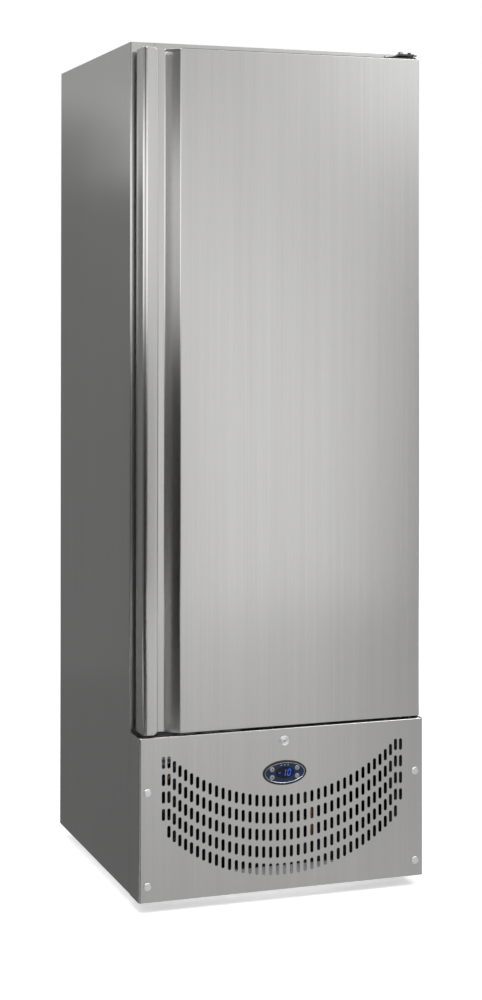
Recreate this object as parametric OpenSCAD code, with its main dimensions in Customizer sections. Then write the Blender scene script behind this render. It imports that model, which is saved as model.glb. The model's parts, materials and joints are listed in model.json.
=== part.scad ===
// Commercial upright freezer: a stainless steel cabinet with one full height
// door, a slotted cover in front of the machine bay, and what it holds inside.
// Millimetres. Z is up from the floor, the door faces -Y, and the origin is at
// the middle of the footprint.

/* [Cabinet] */
// Width over the two side panels
cabinet_w = 680; // [640:1:760]
// Height from the bottom edge of the front cover to the top
cabinet_h = 1896; // [1800:1:2040]
// Depth from the front flange to the back
cabinet_d = 636; // [600:1:720]
// Width of the flange round the front opening
flange_w = 55; // [50:1:64]
// Depth of the folds behind the flange
fold_d = 18; // [12:1:24]
// Thickness of the sheet metal
sheet_t = 1; // [0.8:0.1:1.4]
// Thickness of the inner liner
liner_t = 2; // [1.5:0.1:3]
// Thickness of the insulated back wall
back_wall = 60; // [50:1:75]
// Thickness of the insulated floor
floor_t = 60; // [50:1:75]
// Free height under the front cover
foot_h = 25; // [22:1:45]
// How much higher the side panels end than the front cover
skirt_gap = 2; // [1:0.5:8]

/* [Door] */
// Thickness of the door from its main face to its back
door_t = 57; // [50:1:58]
// Distance from the front flange to the door's main face
front_step = 73; // [72:1:80]
// Distance from the door's edge to the cabinet's side
door_inset = 9; // [6:0.5:11]
// Gap between the door and the front cover
door_gap = 6; // [5.5:0.5:9]
// Distance from the top of the door to the top of the cabinet
door_top_gap = 19.5; // [18:0.5:24]
// Width of the rounded lip of the handle
lip_w = 34; // [28:1:40]
// How far the lip stands in front of the main face
lip_proud = 3; // [2.5:0.1:5]
// Radius of the lip's outer corner
lip_r = 11; // [6:0.5:14]
// Depth of the finger groove behind the main face
groove_d = 25; // [18:1:30]
// Width of the flat floor of the groove
groove_w = 22.6; // [18:0.2:30]
// Width of the slope from the groove to the main face
slope_w = 28.4; // [20:0.2:36]
// Distance from the door's edge to the gasket
gasket_inset = 20; // [16:1:22]
// Distance from the pivot to the door's right edge
pivot_in = 12; // [11:0.5:16]
// Distance from the pivot to the door's main face
pivot_back = 31; // [29:0.5:32]
// Radius of the hinge pins
pin_r = 4; // [3:0.1:5]

/* [Front cover] */
// Height of the front cover
cover_h = 360; // [345:1:400]
// Thickness of the cover's sheet
cover_t = 1.2; // [1:0.1:1.6]
// Radius of the cover's upright corners
cover_r = 6; // [4:0.5:12]
// Depth of the folds along the cover's top and bottom
cover_fold = 14; // [8:1:14]
// Width of one air slot
slot_w = 7.8; // [5:0.1:9]
// Length of one air slot
slot_l = 26.5; // [20:0.5:30]
// Height from one row of slots to the next
slot_pitch = 38; // [34:0.5:39]
// Distance from the cover's top to the top of the middle column of slots
slot_top = 148.7; // [146:0.1:156]
// Radius of the arc that the rows follow
slot_arc = 400; // [385:1:420]
// Angle between one column and the next
slot_step = 2.37; // [2.1:0.01:2.4]
// Distance from the last curved column to the short one outside it
slot_end = 12.6; // [11:0.1:14]
// Number of rows
slot_rows = 5; // [3:1:5]

/* [Controls] */
// Width of the oval controller
panel_w = 104; // [90:1:110]
// Height of the oval controller
panel_h = 55; // [48:1:62]
// Distance from the cover's top to the middle of the controller
panel_drop = 99; // [94:1:106]
// How far the controller's ring stands out of the cover
panel_proud = 2.8; // [2.5:0.1:2.9]
// Diameter of one button
button_d = 11.5; // [9:0.1:12]
// Travel of one button
button_travel = 0.8; // [0.5:0.1:1]
// Height of the display's figures
digit_h = 16; // [12:0.5:17]
// Diameter of the lock's collar
lock_d = 22.8; // [20:0.1:26]
// Diameter of the turning plug
plug_d = 12.8; // [10:0.1:14]
// Distance from the cover's top to the lock
lock_drop = 28; // [27:0.5:32]
// Travel of the lock bolt
lock_travel = 16; // [14:0.5:18]

/* [Inside] */
// Thickness of one shelf wire
wire_t = 5; // [4:0.5:6]
// Height of the evaporator's housing
evap_h = 125; // [115:1:150]
// Radius of the evaporator fan
evap_fan_r = 68; // [55:1:75]
// Radius of the condenser fan
cond_fan_r = 86; // [70:1:88]
// Width of the condenser
cond_w = 300; // [260:1:320]
// Height of the condenser
cond_h = 232; // [210:1:240]
// Radius of the compressor's shell
comp_r = 76; // [65:1:84]
// Height of the compressor's shell
comp_h = 178; // [150:1:190]
// Diameter of the levelling feet
foot_d = 40; // [30:1:50]

/* [Clearances] */
// Gap between two pieces that are set side by side
seam = 0.3; // [0.2:0.05:0.5]
// Radial clearance of a turning fit
running = 0.05; // [0.03:0.01:0.1]
// Gap round a piece that slides
slide_gap = 0.3; // [0.2:0.05:0.4]

/* [Hidden] */
$fn = 48;
EPS = 0.01;

// Places that follow from the driving sizes
depth_all = lip_proud + front_step + cabinet_d;
x_side = cabinet_w / 2;
y_back = depth_all / 2;
y_face = lip_proud - depth_all / 2;
y_flange = y_face + front_step;
z_cab = foot_h + skirt_gap;
z_top = foot_h + cabinet_h;
z_cover = foot_h + cover_h;

// The door
door_w = cabinet_w - 2 * door_inset;
x_door = door_w / 2;
z_door0 = z_cover + door_gap;
z_door1 = z_top - door_top_gap;
y_door_back = y_face + door_t;
seal_gap = front_step - door_t;
gasket_w = flange_w - door_inset - gasket_inset - 1;
slope_angle = atan2(groove_d, slope_w);
slope_shift = tan(slope_angle / 2);
plug_out = seal_gap - 4;
x_pivot = x_door - pivot_in;
y_pivot = y_face + pivot_back;

// The front opening and the storage space
rim = gasket_inset + gasket_w + 1;
x_mouth = x_side - flange_w;
z_mouth0 = z_door0 + rim;
z_mouth1 = z_door1 - rim;
z_bay = z_mouth0 - floor_t;
x_in = x_mouth - liner_t;
y_in = y_back - back_wall - liner_t;
y_strip = y_flange + fold_d + 4;
z_in0 = z_mouth0 + liner_t;
z_in1 = z_mouth1 - liner_t;

// Basic solids
module block(x0, x1, y0, y1, z0, z1)
    translate([x0, y0, z0]) cube([x1 - x0, y1 - y0, z1 - z0]);

module rod_z(r, x, y, z0, z1)
    translate([x, y, z0]) cylinder(r = r, h = z1 - z0);

module rod_y(r, x, z, y0, y1)
    translate([x, y1, z]) rotate([90, 0, 0]) cylinder(r = r, h = y1 - y0);

module rod_x(r, y, z, x0, x1)
    translate([x0, y, z]) rotate([0, 90, 0]) cylinder(r = r, h = x1 - x0);

// A flat outline drawn in X and Z, standing from y0 back to y1
module plate_y(y0, y1)
    translate([0, y1, 0]) rotate([90, 0, 0]) linear_extrude(y1 - y0) children();

module both_sides() {
    children();
    mirror([1, 0, 0]) children();
}

// Outlines as lists of points
function arc(cx, cy, r, a0, a1, n = 6) =
    [for (i = [0:n]) let (a = a0 + (a1 - a0) * i / n) [cx + r * cos(a), cy + r * sin(a)]];
function ellipse(w, h, n = 60, cx = 0, cy = 0) =
    [for (i = [0:n - 1]) [cx + w / 2 * cos(360 * i / n), cy + h / 2 * sin(360 * i / n)]];
function rect(x0, x1, y0, y1) = [[x0, y0], [x1, y0], [x1, y1], [x0, y1]];
function joined(lists) = [for (l = lists) for (p = l) p];
function starts(lists, i = 0, at = 0) =
    i == len(lists) ? [] : concat([at], starts(lists, i + 1, at + len(lists[i])));

// A sheet with an outline and any number of holes in it
module sheet(outline, holes) {
    loops = concat([outline], holes);
    first = starts(loops);
    polygon(points = joined(loops),
            paths = [for (k = [0:len(loops) - 1]) [for (j = [0:len(loops[k]) - 1]) first[k] + j]]);
}

// A round tube swept along a path, with arcs at its corners
function unit(v) = v / norm(v);
function corner(a, b, c, r, n = 5) =
    let (u = unit(a - b), v = unit(c - b), k = min(r, norm(a - b) / 2.2, norm(c - b) / 2.2))
    [for (i = [0:n]) let (t = i / n) b + u * k * (1 - t) * (1 - t) + v * k * t * t];
function rounded(p, r) =
    concat([p[0]], joined([for (i = [1:len(p) - 2]) corner(p[i - 1], p[i], p[i + 1], r)]),
           [p[len(p) - 1]]);
function along(p, i) = unit(p[min(i + 1, len(p) - 1)] - p[max(i - 1, 0)]);
function sides(p, n, i = 0) =
    i == len(p) ? [] : let (t = along(p, i), m = unit(n - (n * t) * t))
    concat([m], sides(p, m, i + 1));
module tube(path, r, bend, n = 8) {
    p = rounded(path, bend);
    t0 = along(p, 0);
    m = sides(p, abs(t0[2]) < 0.9 ? [0, 0, 1] : [1, 0, 0]);
    rings = joined([for (i = [0:len(p) - 1]) let (c = cross(along(p, i), m[i]))
        [for (k = [0:n - 1]) p[i] + r * (cos(360 * k / n) * m[i] + sin(360 * k / n) * c)]]);
    walls = [for (i = [0:len(p) - 2]) for (k = [0:n - 1])
        let (a = i * n + k, b = i * n + (k + 1) % n) each [[a, a + n, b], [b, a + n, b + n]]];
    last = (len(p) - 1) * n;
    polyhedron(rings, concat([[for (k = [0:n - 1]) k]], walls,
                             [[for (k = [n - 1:-1:0]) last + k]]), convexity = 6);
}

// Cabinet: a side panel is one sheet with its folds, seen from above
side_r = 3;
rear_fold = 15;
function side_outline() = concat(
    [[-x_side + rear_fold, y_back], [-x_side, y_back]],
    arc(-x_side + side_r, y_flange + side_r, side_r, 180, 270),
    [[-x_mouth, y_flange], [-x_mouth, y_flange + fold_d],
     [-x_mouth - sheet_t, y_flange + fold_d], [-x_mouth - sheet_t, y_flange + sheet_t]],
    arc(-x_side + side_r, y_flange + side_r, side_r - sheet_t, 270, 180),
    [[-x_side + sheet_t, y_back - sheet_t], [-x_side + rear_fold, y_back - sheet_t]]);

module side_panel() color("silver") translate([0, 0, z_cab])
    linear_extrude(z_top - z_cab) polygon(side_outline());
module side_panel_left() side_panel();
module side_panel_right() mirror([1, 0, 0]) side_panel();

// The hole that melt water leaves the storage space by
drain_r = 9;
drain_x = -120;
drain_y = y_in - 40;

x_shell = x_side - sheet_t - seam;
x_header = x_mouth - seam;
// Room in a level sheet whose top is at z for the folds of the side panels
module fold_notches(z) both_sides() {
    block(x_mouth - seam, x_mouth + sheet_t + seam, y_flange + sheet_t,
          y_flange + fold_d + seam, z - 2 * sheet_t, z + 1);
    block(x_side - side_r - seam, x_side, y_flange, y_flange + side_r + seam,
          z - 2 * sheet_t, z + 1);
}
module top_panel() color("silver") difference() {
    union() {
        block(-x_shell, x_shell, y_flange + sheet_t + seam, y_back - sheet_t - seam,
              z_top - sheet_t, z_top);
        block(-x_header, x_header, y_flange, y_flange + sheet_t + seam, z_top - sheet_t, z_top);
        block(-x_header, x_header, y_flange, y_flange + sheet_t, z_mouth1, z_top);
        block(-x_header, x_header, y_flange, y_flange + fold_d, z_mouth1, z_mouth1 + sheet_t);
    }
    fold_notches(z_top);
}

module front_sill() color("silver") {
    block(-x_header, x_header, y_flange, y_flange + sheet_t, z_bay, z_mouth0);
    block(-x_header, x_header, y_flange, y_flange + fold_d, z_mouth0 - sheet_t, z_mouth0);
}

module rear_panel() color("lightgray")
    block(-x_shell, x_shell, y_back - 2 * sheet_t, y_back - sheet_t, z_bay, z_top - sheet_t - seam);

module bay_roof() color("lightgray") difference() {
    block(-x_shell, x_shell, y_flange + sheet_t, y_back - 2 * sheet_t - seam,
          z_bay - sheet_t, z_bay);
    fold_notches(z_bay);
    rod_z(drain_r, drain_x, drain_y, z_bay - 2, z_bay + 1);
}

// Sheet at the back of the machine bay, with rows of level air slots
vent_w = 44;
vent_h = 6;
vent_cols = 5;
vent_pitch = 14;
vent_gap = 18;
vent_low = 70;
vent_high = 40;
inlet_x = x_side - 110;
inlet_z = z_cab + 60;
inlet_w = 50;
inlet_h = 30;
module rear_grille() {
    z0 = z_cab + sheet_t + seam;
    z1 = z_bay - sheet_t - seam;
    rows = floor((z1 - z0 - vent_low - vent_high) / vent_pitch);
    vents = [for (r = [0:rows - 1]) for (c = [0:vent_cols - 1])
        let (x = (c - (vent_cols - 1) / 2) * (vent_w + vent_gap), z = z0 + vent_low + r * vent_pitch)
        rect(x - vent_w / 2, x + vent_w / 2, z, z + vent_h)];
    inlet = rect(inlet_x - inlet_w / 2, inlet_x + inlet_w / 2,
                 inlet_z - inlet_h / 2, inlet_z + inlet_h / 2);
    color("lightgray") plate_y(y_back - 2 * sheet_t, y_back - sheet_t)
        sheet(rect(-x_shell, x_shell, z0, z1), concat(vents, [inlet]));
}

// Insulation between the outer sheets and the liner
module cabinet_foam() color("khaki") difference() {
    block(-x_side + sheet_t, x_side - sheet_t, y_flange + fold_d, y_back - 2 * sheet_t,
          z_bay, z_top - sheet_t);
    block(-x_mouth, x_mouth, y_flange, y_back - back_wall, z_mouth0, z_mouth1);
    rod_z(drain_r, drain_x, drain_y, z_bay - 1, z_mouth0 + 1);
}

module inner_liner() color("gainsboro") difference() {
    block(-x_mouth, x_mouth, y_strip, y_back - back_wall, z_mouth0, z_mouth1);
    block(-x_in, x_in, y_strip - 1, y_in, z_in0, z_in1);
    rod_z(drain_r, drain_x, drain_y, z_mouth0 - 1, z_in0 + 1);
}

module breaker_strip() color("white") plate_y(y_flange + sheet_t + seam, y_strip)
    sheet(rect(-x_mouth, x_mouth, z_mouth0, z_mouth1),
          [rect(-x_in, x_in, z_in0, z_in1)]);

// Base: a pan between the side panels, on four levelling feet
pan_edge = 30;
pan_t = 1.5;
bay_floor = z_cab + pan_t;
y_pan = y_back - 2 * sheet_t - seam;
module base_pan() color("gray") difference() {
    block(-x_shell, x_shell, y_flange + sheet_t + seam, y_pan, z_cab, z_cab + pan_edge);
    block(-x_shell + pan_t, x_shell - pan_t, y_flange + sheet_t + seam + pan_t,
          y_pan - pan_t, bay_floor, z_cab + pan_edge + 1);
    both_sides() {
        block(x_mouth - seam, x_shell + 1, y_flange, y_flange + fold_d + seam,
              z_cab - 1, z_cab + pan_edge + 1);
        for (y = foot_rows) rod_z(stem_r, foot_x, y, z_cab - 1, bay_floor + 1);
    }
}

stem_r = 6;
foot_x = x_side - 50;
foot_rows = [y_flange + 75, y_back - 70];
pad_h = 9;
module levelling_feet() color("dimgray") both_sides() for (y = foot_rows) {
    rod_z(foot_d / 2, foot_x, y, 0, pad_h);
    rod_z(foot_d / 4, foot_x, y, pad_h, z_cab - 6);
    rod_z(foot_d / 3, foot_x, y, z_cab - 6, z_cab);
    rod_z(stem_r - running, foot_x, y, z_cab, z_cab + 14);
    rod_z(stem_r * 1.7, foot_x, y, bay_floor, bay_floor + 6);
}

// Front cover: one sheet with rounded upright corners, folds and air slots
cover_side = front_step - seam;
function slot_x(k) = abs(k) > 18 ? sign(k) * (slot_arc * sin(18 * slot_step) + slot_end)
                                 : slot_arc * sin(k * slot_step);
function slot_rise(k) = slot_arc * (1 - cos(min(abs(k), 18) * slot_step));
function slot_z(k, r) = z_cover - slot_top - slot_l / 2 - slot_pitch * r + slot_rise(k);
z_panel = z_cover - panel_drop;
z_lock = z_cover - lock_drop;
collar_r = lock_d / 2;
barrel_r = collar_r - 2.4;
cap_d = 17.5;
cap_in = 20;
cap_low = 35;
cap_high = 120;
screw_spots = [for (x = [-1, 1]) for (z = [foot_h + cap_low, z_cover - cap_high])
    [x * (x_side - cap_in), z]];
ring_lip = 4;
module cover_corner() translate([0, 0, foot_h]) linear_extrude(cover_h) polygon(concat(
    [[-x_side, y_face + cover_side]],
    arc(-x_side + cover_r, y_face + cover_r, cover_r, 180, 270, 10),
    arc(-x_side + cover_r, y_face + cover_r, cover_r - cover_t, 270, 180, 10),
    [[-x_side + cover_t, y_face + cover_side]]));
module cover_plate() difference() {
    polygon(rect(-x_side + cover_r, x_side - cover_r, foot_h, z_cover));
    for (k = [-19:19]) for (r = [0:slot_rows - (abs(k) > 18 ? 2 : 1)])
        translate([slot_x(k), slot_z(k, r)]) {
            square([slot_w, slot_l - slot_w], center = true);
            for (s = [-1, 1]) translate([0, s * (slot_l - slot_w) / 2]) circle(r = slot_w / 2);
        }
    polygon(ellipse(panel_w - 2 * ring_lip, panel_h - 2 * ring_lip, 60, 0, z_panel));
    translate([0, z_lock]) circle(r = barrel_r + 0.2);
}
module front_cover() color("silver") {
    plate_y(y_face, y_face + cover_t) cover_plate();
    both_sides() cover_corner();
    for (z = [foot_h, z_cover - cover_t])
        block(-x_side + cover_r, x_side - cover_r, y_face, y_face + cover_fold, z, z + cover_t);
}

module cover_screws() color("whitesmoke") for (p = screw_spots) {
    rod_y(cap_d / 2, p[0], p[1], y_face - 0.8, y_face - EPS);
    rod_y(cap_d / 2 - 2.5, p[0], p[1], y_face - 1.8, y_face - 0.8);
}

// Cylinder lock: a fixed housing, the plug with its cam, and the bolt
barrel_len = 20;
cam_t = 2;
bolt_y0 = y_face + barrel_len + cam_t + 3 * slide_gap;
bolt_t = 4;
bolt_half = 6;
cam_arm = lock_travel / 2 * sqrt(2);
cam_pin = 2;
guide_z0 = z_lock + 14;
guide_z1 = z_lock + lock_drop - 4;
module lock_housing() color("lightsteelblue") difference() {
    union() {
        rod_y(collar_r, 0, z_lock, y_face - 2.2, y_face - EPS);
        rod_y(barrel_r, 0, z_lock, y_face - EPS, y_face + barrel_len);
        block(-bolt_half - 3, bolt_half + 3, y_face + cover_fold + 0.6, y_face + barrel_len,
              z_lock + 4, guide_z0 + EPS);
        block(-bolt_half - 3, bolt_half + 3, y_face + cover_fold + 0.6, bolt_y0 + bolt_t + 2,
              guide_z0, guide_z1);
    }
    rod_y(plug_d / 2 + running, 0, z_lock, y_face - 3, y_face + barrel_len + 1);
    block(-bolt_half - slide_gap, bolt_half + slide_gap, bolt_y0 - slide_gap,
          bolt_y0 + bolt_t + slide_gap, guide_z0 - 1, guide_z1 + 1);
}

module lock_plug() color("white") difference() {
    union() {
        rod_y(plug_d / 2, 0, z_lock, y_face - 2, y_face + barrel_len + slide_gap + cam_t);
        translate([0, 0, z_lock]) rotate([0, 45, 0]) {
            block(0, cam_arm, y_face + barrel_len + slide_gap,
                  y_face + barrel_len + slide_gap + cam_t, -3.4, 3.4);
            rod_y(3.4, cam_arm, 0, y_face + barrel_len + slide_gap,
                  y_face + barrel_len + slide_gap + cam_t);
            rod_y(cam_pin, cam_arm, 0, y_face + barrel_len + slide_gap,
                  bolt_y0 + bolt_t + 0.5);
        }
    }
    translate([0, 0, z_lock]) rotate([0, -30, 0])
        block(-3.9, 3.9, y_face - 3, y_face + 12, -0.9, 0.9);
}

module lock_bolt() color("silver") {
    z_pin = z_lock - lock_travel / 2;
    foot_half = cam_pin + 3;
    difference() {
        union() {
            block(-bolt_half, bolt_half, bolt_y0, bolt_y0 + bolt_t, z_pin - foot_half, z_cover - 2);
            block(-bolt_half, cam_arm + 5, bolt_y0, bolt_y0 + bolt_t,
                  z_pin - foot_half, z_pin + foot_half);
        }
        block(lock_travel / 2 - cam_pin - 0.8, cam_arm + cam_pin + 0.6, bolt_y0 - 1,
              bolt_y0 + bolt_t + 1, z_pin - cam_pin - 0.7, z_pin + cam_pin + 0.7);
    }
}

// Oval controller: ring, face plate, display, four buttons and the box behind
face_w = panel_w - 2 * ring_lip - 4;
face_h = panel_h - 2 * ring_lip - 4;
face_front = y_face - 1.6;
face_back = y_face + 0.4;
screen_w = 45;
screen_h = 26;
button_x = 30;
button_z = 9;
button_front = y_face - 2.5;
box_front = y_face + 7;
box_back = y_face + 52;
box_x = panel_w / 2 - ring_lip - 8;
box_z = panel_h / 2 - ring_lip - 6;
button_spots = [[-button_x, button_z], [-button_x, -button_z],
                [button_x, button_z], [button_x, -button_z]];
module controller_ring() color([0.16, 0.16, 0.18]) {
    plate_y(y_face - panel_proud, y_face - EPS)
        sheet(ellipse(panel_w, panel_h, 60, 0, z_panel),
              [ellipse(face_w + 0.4, face_h + 0.4, 60, 0, z_panel)]);
    plate_y(y_face - EPS, box_front)
        sheet(ellipse(panel_w - 2 * ring_lip - 0.4, panel_h - 2 * ring_lip - 0.4, 60, 0, z_panel),
              [ellipse(face_w + 0.4, face_h + 0.4, 60, 0, z_panel)]);
}

module controller_face() color([0.13, 0.18, 0.33]) difference() {
    plate_y(face_front, face_back)
        sheet(ellipse(face_w, face_h, 60, 0, z_panel),
              [ellipse(screen_w + 0.3, screen_h + 0.3, 48, 0, z_panel)]);
    for (p = button_spots)
        rod_y(button_d / 2 + slide_gap, p[0], z_panel + p[1], face_front - 1, face_back + 1);
}

module controller_box() color("dimgray") difference() {
    block(-box_x, box_x, box_front, box_back, z_panel - box_z, z_panel + box_z);
    for (p = button_spots) rod_y(button_d / 2 + slide_gap, p[0], z_panel + p[1],
                                 box_front - 1, box_front + button_travel);
}

module display_screen() color([0.08, 0.08, 0.1]) {
    plate_y(face_front + 0.2, face_back)
        polygon(ellipse(screen_w, screen_h, 48, 0, z_panel));
    block(-screen_w / 3, screen_w / 3, face_back, box_front, z_panel - 6, z_panel + 6);
}

// Seven bar figures, leaning to the right, and three lamps above them
bar = 2.2;
lean = 0.16;
mark_r = 1.6;
module figure_bar(x0, x1, z0, z1)
    polygon([[x0 + z0 * lean, z0], [x1 + z0 * lean, z0], [x1 + z1 * lean, z1], [x0 + z1 * lean, z1]]);
module display_figures() color([0.1, 0.3, 0.95]) {
    plate_y(face_front - 0.2, face_front + 0.2) translate([0, z_panel]) {
        h = digit_h / 2;
        figure_bar(-15.5, -9.5, -bar / 2, bar / 2);
        figure_bar(0.4, 0.4 + bar, -h, -0.5);
        figure_bar(0.4, 0.4 + bar, 0.5, h);
        difference() {
            figure_bar(6, 14.5, -h, h);
            figure_bar(6 + bar, 14.5 - bar, -h + bar, h - bar);
        }
    }
    for (x = [-8, 0, 8]) rod_y(mark_r, x, z_panel + 17.2, face_front - 0.2, face_front);
}

module button(i) color([0.75, 0.75, 0.77]) {
    p = button_spots[i];
    rod_y(button_d / 2, p[0], z_panel + p[1], button_front + 0.5, box_front - seam);
    rod_y(button_d / 2 - 0.8, p[0], z_panel + p[1], button_front, button_front + 0.5);
}
module button_up() button(0);
module button_down() button(1);
module button_set() button(2);
module button_standby() button(3);

// Machine bay
comp_x = x_side - 155;
comp_y = y_back - 125;
mount_h = 22;
mount_x = comp_r * 0.95;
mount_y = comp_r * 0.72;
plate_t = 3;
comp_z = bay_floor + mount_h + plate_t;
belt_z = comp_z + comp_h * 0.55;
module compressor() color([0.1, 0.1, 0.11]) difference() {
    union() {
        translate([comp_x, comp_y, comp_z]) rotate_extrude($fn = 64) polygon(concat(
            [[0, 0]], arc(comp_r - 26, 26, 26, -90, 0, 8),
            arc(comp_r - 40, comp_h - 40, 40, 0, 90, 8), [[0, comp_h]]));
        rod_z(comp_r + 3, comp_x, comp_y, belt_z, belt_z + 5);
        block(comp_x - mount_x - 16, comp_x + mount_x + 16, comp_y - mount_y - 14,
              comp_y + mount_y + 14, comp_z - plate_t, comp_z + 1);
    }
    for (sx = [-1, 1]) for (sy = [-1, 1])
        rod_z(7 + running, comp_x + sx * mount_x, comp_y + sy * mount_y,
              comp_z - plate_t - 1, comp_z + 2);
}

module compressor_mounts() color([0.2, 0.2, 0.2])
    for (sx = [-1, 1]) for (sy = [-1, 1]) {
        x = comp_x + sx * mount_x;
        y = comp_y + sy * mount_y;
        rod_z(12, x, y, bay_floor, comp_z - plate_t);
        rod_z(7, x, y, comp_z - plate_t, comp_z + 4);
        rod_z(10, x, y, comp_z + 1, comp_z + 5);
    }

term_w = 46;
term_h = 70;
module terminal_box() color([0.15, 0.15, 0.16]) difference() {
    block(comp_x - comp_r - 26, comp_x - comp_r + 14, comp_y - term_w / 2, comp_y + term_w / 2,
          comp_z + 22, comp_z + 22 + term_h);
    rod_z(comp_r + seam, comp_x, comp_y, comp_z, comp_z + comp_h);
    rod_z(comp_r + 3 + seam, comp_x, comp_y, belt_z - seam, belt_z + 5 + seam);
}

// Condenser: level tubes joined by bends, through a stack of upright fins
cond_x = cond_w / 2 + 120 - x_side;
cond_y = y_flange + 46;
cond_z = bay_floor + 24;
cond_depth = 44;
coil_r = 4.5;
coil_rows = 8;
fin_gap = 15;
fin_t = 1;
module serpentine(w, rows, pitch, r) for (i = [0:rows - 1]) {
    rod_x(r, 0, i * pitch, -w / 2, w / 2);
    if (i < rows - 1) {
        side = i % 2 == 0 ? 1 : -1;
        translate([side * w / 2, 0, (i + 0.5) * pitch]) rotate([90, 0, 0])
            rotate([0, 0, side > 0 ? -90 : 90]) rotate_extrude(angle = 180, $fn = 32)
                translate([pitch / 2, 0]) circle(r = r, $fn = 24);
    }
}
cond_pitch = cond_h / coil_rows;
module condenser_coil() color([0.55, 0.45, 0.38]) {
    translate([cond_x, cond_y, cond_z + cond_pitch / 2])
        serpentine(cond_w, coil_rows, cond_pitch, coil_r);
    count = floor((cond_w - 20) / fin_gap);
    for (i = [0:count]) translate([cond_x + (i - count / 2) * fin_gap, 0, 0])
        block(-fin_t / 2, fin_t / 2, cond_y - cond_depth / 2, cond_y + cond_depth / 2,
              cond_z, cond_z + cond_h);
}

// Shroud round the fan, standing on the pan behind the condenser
shroud_y = cond_y + cond_depth / 2 + seam;
shroud_d = 62;
shroud_t = 1.5;
ring_r = cond_fan_r + 6;
fan_z = cond_z + cond_h / 2;
fan_plate = shroud_y + shroud_d - 26;
module fan_shroud() color("gray") {
    x0 = cond_x - cond_w / 2;
    x1 = cond_x + cond_w / 2;
    z0 = bay_floor;
    z1 = cond_z + cond_h;
    plate_y(fan_plate, fan_plate + shroud_t)
        sheet(rect(x0, x1, z0, z1), [ellipse(2 * ring_r, 2 * ring_r, 60, cond_x, fan_z)]);
    for (x = [x0, x1 - shroud_t]) block(x, x + shroud_t, shroud_y, fan_plate + EPS, z0, z1);
    for (z = [cond_z - shroud_t - seam, z1 - shroud_t])
        block(x0, x1, shroud_y, fan_plate + EPS, z, z + shroud_t);
    plate_y(fan_plate + shroud_t - EPS, fan_plate + 24)
        sheet(ellipse(2 * ring_r + 3, 2 * ring_r + 3, 60, cond_x, fan_z),
              [ellipse(2 * ring_r, 2 * ring_r, 60, cond_x, fan_z)]);
}

// A fan with flat pitched blades on a hub, its axis along Z
module fan(r, hub_r, hub_h, blades, pitch, bore_r) difference() {
    union() {
        cylinder(r = hub_r, h = hub_h);
        for (i = [0:blades - 1]) rotate([0, 0, 360 * i / blades])
            translate([0, 0, hub_h / 2]) rotate([pitch, 0, 0])
                translate([hub_r - 3, -r * 0.24, -0.8]) cube([r - hub_r + 1, r * 0.48, 1.6]);
    }
    translate([0, 0, -1]) cylinder(r = bore_r, h = hub_h * 0.8 + 1);
}
shaft_r = 3;
fan_hub = 20;
fan_y0 = fan_plate + 2;
motor_gap = 2;
module condenser_fan() color("gray") translate([cond_x, fan_y0 + fan_hub, fan_z])
    rotate([90, 0, 0]) fan(cond_fan_r, 17, fan_hub, 5, 26, shaft_r + running);

motor_y = fan_y0 + fan_hub + motor_gap;
motor_r = 26;
motor_l = 44;
arm_half = 8;
arm_t = 2;
arm_reach = ring_r + 12;
arm_y = motor_y + 20;
module condenser_fan_motor() color([0.25, 0.25, 0.27]) {
    rod_y(motor_r, cond_x, fan_z, motor_y, motor_y + motor_l);
    rod_y(shaft_r, cond_x, fan_z, fan_y0 + fan_hub * 0.3, motor_y + EPS);
    for (a = [0, 180]) translate([cond_x, 0, fan_z]) rotate([0, a, 0]) {
        block(-arm_half, arm_half, arm_y, arm_y + arm_t, motor_r - arm_t, arm_reach);
        block(-arm_half, arm_half, fan_plate + shroud_t, arm_y + arm_t, arm_reach - arm_t, arm_reach);
    }
}

drier_x = comp_x - 50;
drier_y = y_flange + 120;
drier_z = bay_floor + 40;
drier_l = 110;
module filter_drier() color([0.72, 0.45, 0.25]) translate([drier_x, drier_y, drier_z])
    rotate_extrude($fn = 32) polygon([[0, 0], [4, 0], [4, 8], [9, 16], [11, 18],
        [11, drier_l - 18], [9, drier_l - 16], [4, drier_l - 8], [4, drier_l], [0, drier_l]]);

// Refrigerant pipes: hot gas to the condenser, liquid to the drier, and the
// suction line from the evaporator down to the compressor
pipe_r = 4;
module refrigerant_pipes() color([0.75, 0.45, 0.25]) {
    coil_x = cond_x - cond_w / 2;
    top_z = cond_z + cond_h - cond_pitch / 2;
    coil_end = cond_x + (coil_rows % 2 == 0 ? -1 : 1) * cond_w / 2;
    dome = comp_z + comp_h;
    tube([[comp_x - 20, comp_y, dome], [comp_x - 20, comp_y, dome + 34],
          [coil_end - 16, comp_y, dome + 34], [coil_end - 16, cond_y, dome + 34],
          [coil_end - 16, cond_y, top_z], [coil_end, cond_y, top_z]], pipe_r, 14);
    tube([[coil_x, cond_y, cond_z + cond_pitch / 2], [coil_x - 8, cond_y, cond_z + cond_pitch / 2],
          [coil_x - 8, cond_y, bay_floor + 12], [drier_x, cond_y, bay_floor + 12],
          [drier_x, drier_y, bay_floor + 12], [drier_x, drier_y, drier_z]], pipe_r, 8);
    tube([[drier_x, drier_y, drier_z + drier_l], [drier_x, drier_y, z_bay - sheet_t - 18],
          [line_x, drier_y, z_bay - sheet_t - 18], [line_x, line_y, z_bay - sheet_t - 18],
          [line_x, line_y, z_bay - sheet_t]], pipe_r * 0.6, 10);
    tube([[comp_x + 24, comp_y, dome], [comp_x + 24, comp_y, dome + 26],
          [line_x + 18, comp_y, dome + 26], [line_x + 18, line_y, dome + 26],
          [line_x + 18, line_y, z_bay - sheet_t]], pipe_r, 10);
}
line_x = x_mouth - 40;
line_y = y_back - 30;

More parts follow.
